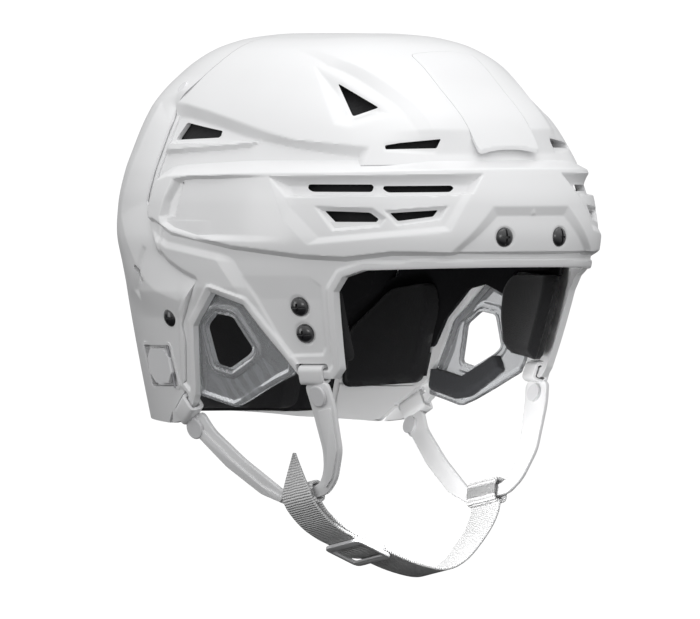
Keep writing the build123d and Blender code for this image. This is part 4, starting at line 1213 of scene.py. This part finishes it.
loop = joined([
    bevelled(slab(loop_plane, rounded(loop_edge, 4.0), -1.2, 1.2), 0.55),
    bevelled(slab(loop_plane, rounded(front_panel, 1.5), 1.0, 2.2), 0.35),
    bevelled(slab(loop_plane, rounded(rear_panel, 1.5), 1.0, 2.2), 0.35),
    bevelled(hook_ring(front_slot, -7.5), 0.4),
    bevelled(hook_ring(rear_slot, -8.1), 0.4),
], "chin_loop_right")
for piece, side in ((loop, "right"), (mirror_copy(loop, "chin_loop_left"), "left")):
    finished(piece, strap_white, "loop_" + side, nodes=["strap_loop_" + side])
dressed(moulded("snap_white", (0.66, 0.66, 0.67), 0.33, coat=0.2), "strap_snaps_right", "strap_snaps_left")


# Chin webbing: white woven tape with a sewn eye round each loop's bottom bar, and a free tail
# on the right that comes back out of the buckle.
web_white, web_tree, web_shader = new_material("web_white")
web_uv = add_node(web_tree, "UVMap").outputs["UV"]
ribs = add_node(web_tree, "TexWave", {"Scale": 0.24, "Distortion": 2.2, "Detail Scale": 0.6}, {
    "Vector": web_uv,
}, bands_direction="X").outputs["Fac"]
yarns = add_node(web_tree, "TexWave", {"Scale": 0.2}, {"Vector": web_uv}, bands_direction="Y").outputs["Fac"]
weave = add_node(web_tree, "Math", {1: 0.3}, {0: yarns, 2: ribs}, operation="MULTIPLY_ADD").outputs[0]
web_tone = add_node(web_tree, "MapRange", {"To Min": 0.55, "To Max": 0.85}, {"Value": weave})
web_grey = add_node(web_tree, "CombineColor", {}, {
    channel: web_tone.outputs["Result"] for channel in ("Red", "Green", "Blue")
})
web_bump = add_node(web_tree, "Bump", {"Strength": 1.0, "Distance": 0.0006}, {"Height": weave})
set_inputs(web_tree, web_shader, {"Roughness": 0.7, "Sheen Weight": 0.3}, {
    "Base Color": web_grey.outputs["Color"], "Normal": web_bump.outputs["Normal"],
})
web_thickness, taper_length = 1.6, 21.0
web_origin = np.array([0.0, -26.88, -38.84])
web_across = np.array([0.0, 0.98478, -0.17378])
web_down = np.cross(web_across, x_axis)


def in_web_plane(flat):
    """Offsets to the left and down in the webbing's plane, as offsets in space."""
    return flat[..., :1] * x_axis + flat[..., 1:] * web_down


def smooth_line(points, count):
    """Points evenly spaced along a smooth curve through the given ones, and their lengths along it.

    Between two points it is the cubic whose slope at each is half the step between its neighbours.
    """
    points = np.asarray(points, float)
    ends = np.vstack([2 * points[:1] - points[1:2], points, 2 * points[-1:] - points[-2:-1]])
    t = np.linspace(0.0, 1.0, 40)[:-1, None]
    fine = np.concatenate([
        0.5 * (2 * b + (c - a) * t + (2 * a - 5 * b + 4 * c - d) * t * t + (3 * b - a - 3 * c + d) * t**3)
        for a, b, c, d in zip(ends, ends[1:], ends[2:], ends[3:])
    ] + [points[-1:]])
    length = lengths_along(fine)
    even = np.linspace(0.0, length[-1], count)
    return np.stack([np.interp(even, length, fine[:, i]) for i in range(fine.shape[1])], -1), even


def tape(name, line, lengths, width=22.0, closed=False, taper=0.0):
    """Woven tape: a rounded rectangle carried along a line in the webbing's plane.

    Its width is across that plane and shrinks at the far end by the taper's share. The UV is in
    millimetres: along the line, and across it, with the inner face 40 further on.
    """
    across, thick = rounded(box_outline(width, web_thickness), 0.7, 3).T
    ahead = np.roll(line, -1, axis=0) - np.roll(line, 1, axis=0)
    if not closed:
        ahead[0], ahead[-1] = line[1] - line[0], line[-1] - line[-2]
    ahead = unit(ahead)
    sideways = np.stack([-ahead[:, 1], ahead[:, 0]], -1)
    squeeze = 1.0 - taper * ramp(lengths, lengths[-1] - taper_length, lengths[-1])
    flat = line[:, None] + sideways[:, None] * thick[:, None]
    points = web_origin + in_web_plane(flat) + (squeeze[:, None] * across)[..., None] * web_across
    index = np.arange(len(line) * len(across)).reshape(len(line), len(across))
    beside = np.roll(index, -1, axis=1)
    quads = np.stack([index, beside, np.roll(beside, -1, axis=0), np.roll(index, -1, axis=0)], -1)
    faces = (quads if closed else quads[:-1]).reshape(-1, 4).tolist()
    if not closed:
        faces += [index[0, ::-1].tolist(), index[-1].tolist()]
    thing = object_of(name, points.reshape(-1, 3), faces)
    uv = np.stack(np.broadcast_arrays(lengths[:, None], across + np.where(thick > 0, 0.0, 40.0)), -1)
    vertex_of = np.empty(len(thing.data.loops), np.int32)
    thing.data.loops.foreach_get("vertex_index", vertex_of)
    layer = thing.data.uv_layers.new(name="UVMap")
    layer.data.foreach_set("uv", uv.reshape(-1, 2)[vertex_of].ravel())
    return thing


bar_across, bar_sizes = 62.25, (2.4, 6.2)


def ring_line(side, clearance):
    """Closed line of the webbing round a loop's bottom bar, turned by its lean, and its lengths."""
    run, rise = (size + 2 * clearance + web_thickness for size in bar_sizes)
    x, y = rounded(box_outline(run, rise), 2.9, 10).T
    cosine, sine = math.cos(side * loop_lean), math.sin(side * loop_lean)
    turned = np.stack([x * cosine - y * sine + side * bar_across, x * sine + y * cosine], -1)
    return turned, lengths_along(turned)


chin_points = [
    (-61.3, 5.4), (-56.0, 12.3), (-45.0, 19.8), (-34.0, 25.3), (-23.0, 29.9), (-4.0, 37.0), (13.0, 40.9),
    (23.0, 40.4), (32.0, 37.0), (41.0, 30.8), (52.0, 20.5), (58.5, 12.0), (61.3, 5.4),
]
chin_line, chin_lengths = smooth_line(chin_points, 150)
tail_points = [
    (-34.7, 26.5), (-40.7, 23.8), (-47.5, 20.9), (-56.0, 15.8), (-63.0, 9.0), (-67.0, 2.6), (-67.6, -4.5),
    (-66.9, -13.0), (-65.8, -21.7),
]
tail_line, tail_lengths = smooth_line(tail_points, 90)
for thing, nodes in (
    (tape("chin_tape", chin_line, chin_lengths), ["chin_webbing"]),
    (tape("tail_tape", tail_line, tail_lengths, taper=0.96), []),
    (tape("right_eye_tape", *ring_line(-1, 1.2), closed=True), []),
    (tape("left_eye_tape", *ring_line(1, 1.9), closed=True), []),
):
    finished(thing, web_white, "webbing", sharp=60.0, nodes=nodes)


# Slide buckle: a white moulded frame with one window, on two rails and a cross bar behind the
# webbing, which humps over that bar inside the window.
buckle_white = moulded("buckle_white", (0.74, 0.74, 0.75), 0.42, grain=0.12)
buckle_across = -29.0
nearest = int(np.argmin(np.abs(chin_line[:, 0] - buckle_across)))
spot = chin_line[nearest]
run = unit(chin_line[nearest + 1] - spot)
buckle_run = in_web_plane(run)
buckle_out = np.cross(web_across, buckle_run)
buckle_place = (web_origin + in_web_plane(spot), buckle_run, np.cross(buckle_out, buckle_run), buckle_out)
buckle = shaped(slab(buckle_place, box_outline(24.0, 27.5, 4.0), 2.3, 4.2), cut=[
    slab(buckle_place, box_outline(15.8, 22.8, 1.4) + (0.5, 0.0), -3.0, 6.0),
])
buckle_parts = [
    slab(buckle_place, box_outline(3.4, 26.8, 1.0), -2.8, -1.15),
    slab(buckle_place, box_outline(1.0, 23.8, 0.4) + (7.7, 0.0), 3.2, 4.3),
] + [slab(buckle_place, box_outline(12.0, 2.3, 0.8) + (0.0, side * 12.55), -2.6, 2.6) for side in (-1, 1)]
hump_half, hump_rise = 9.0, 2.1
reach = np.linspace(-hump_half, hump_half, 13)[:, None]
swell = 0.5 + hump_rise * np.cos(math.pi * reach / (2.0 * hump_half))
hump = tape("hump_tape", *smooth_line(
    spot + run * reach + np.array([-run[1], run[0]]) * swell, 30,
), width=21.6)
finished(hump, web_white, "webbing", sharp=60.0)
buckle = joined([bevelled(buckle, 0.7)] + [bevelled(thing, 0.35) for thing in buckle_parts], "slide_buckle")
finished(buckle, buckle_white, "webbing", nodes=["strap_buckle"])


# Floor: a plain pale sheet laid just under the chin webbing. It gives the white ground, and
# throws no light back on the helmet.
floor = object_of("floor", [(x, y, -107) for x, y in box_outline(1400.0, 1400.0)], [[0, 1, 2, 3]])
floor.visible_diffuse = floor.visible_glossy = False
floor_white = moulded("floor_white", (0.93, 0.93, 0.93), 0.6)
set_inputs(floor_white.node_tree, floor_white.node_tree.nodes["Principled BSDF"], {
    "Emission Color": (1.0, 1.0, 1.0, 1.0), "Emission Strength": 0.25,
})
floor.data.materials.append(floor_white)
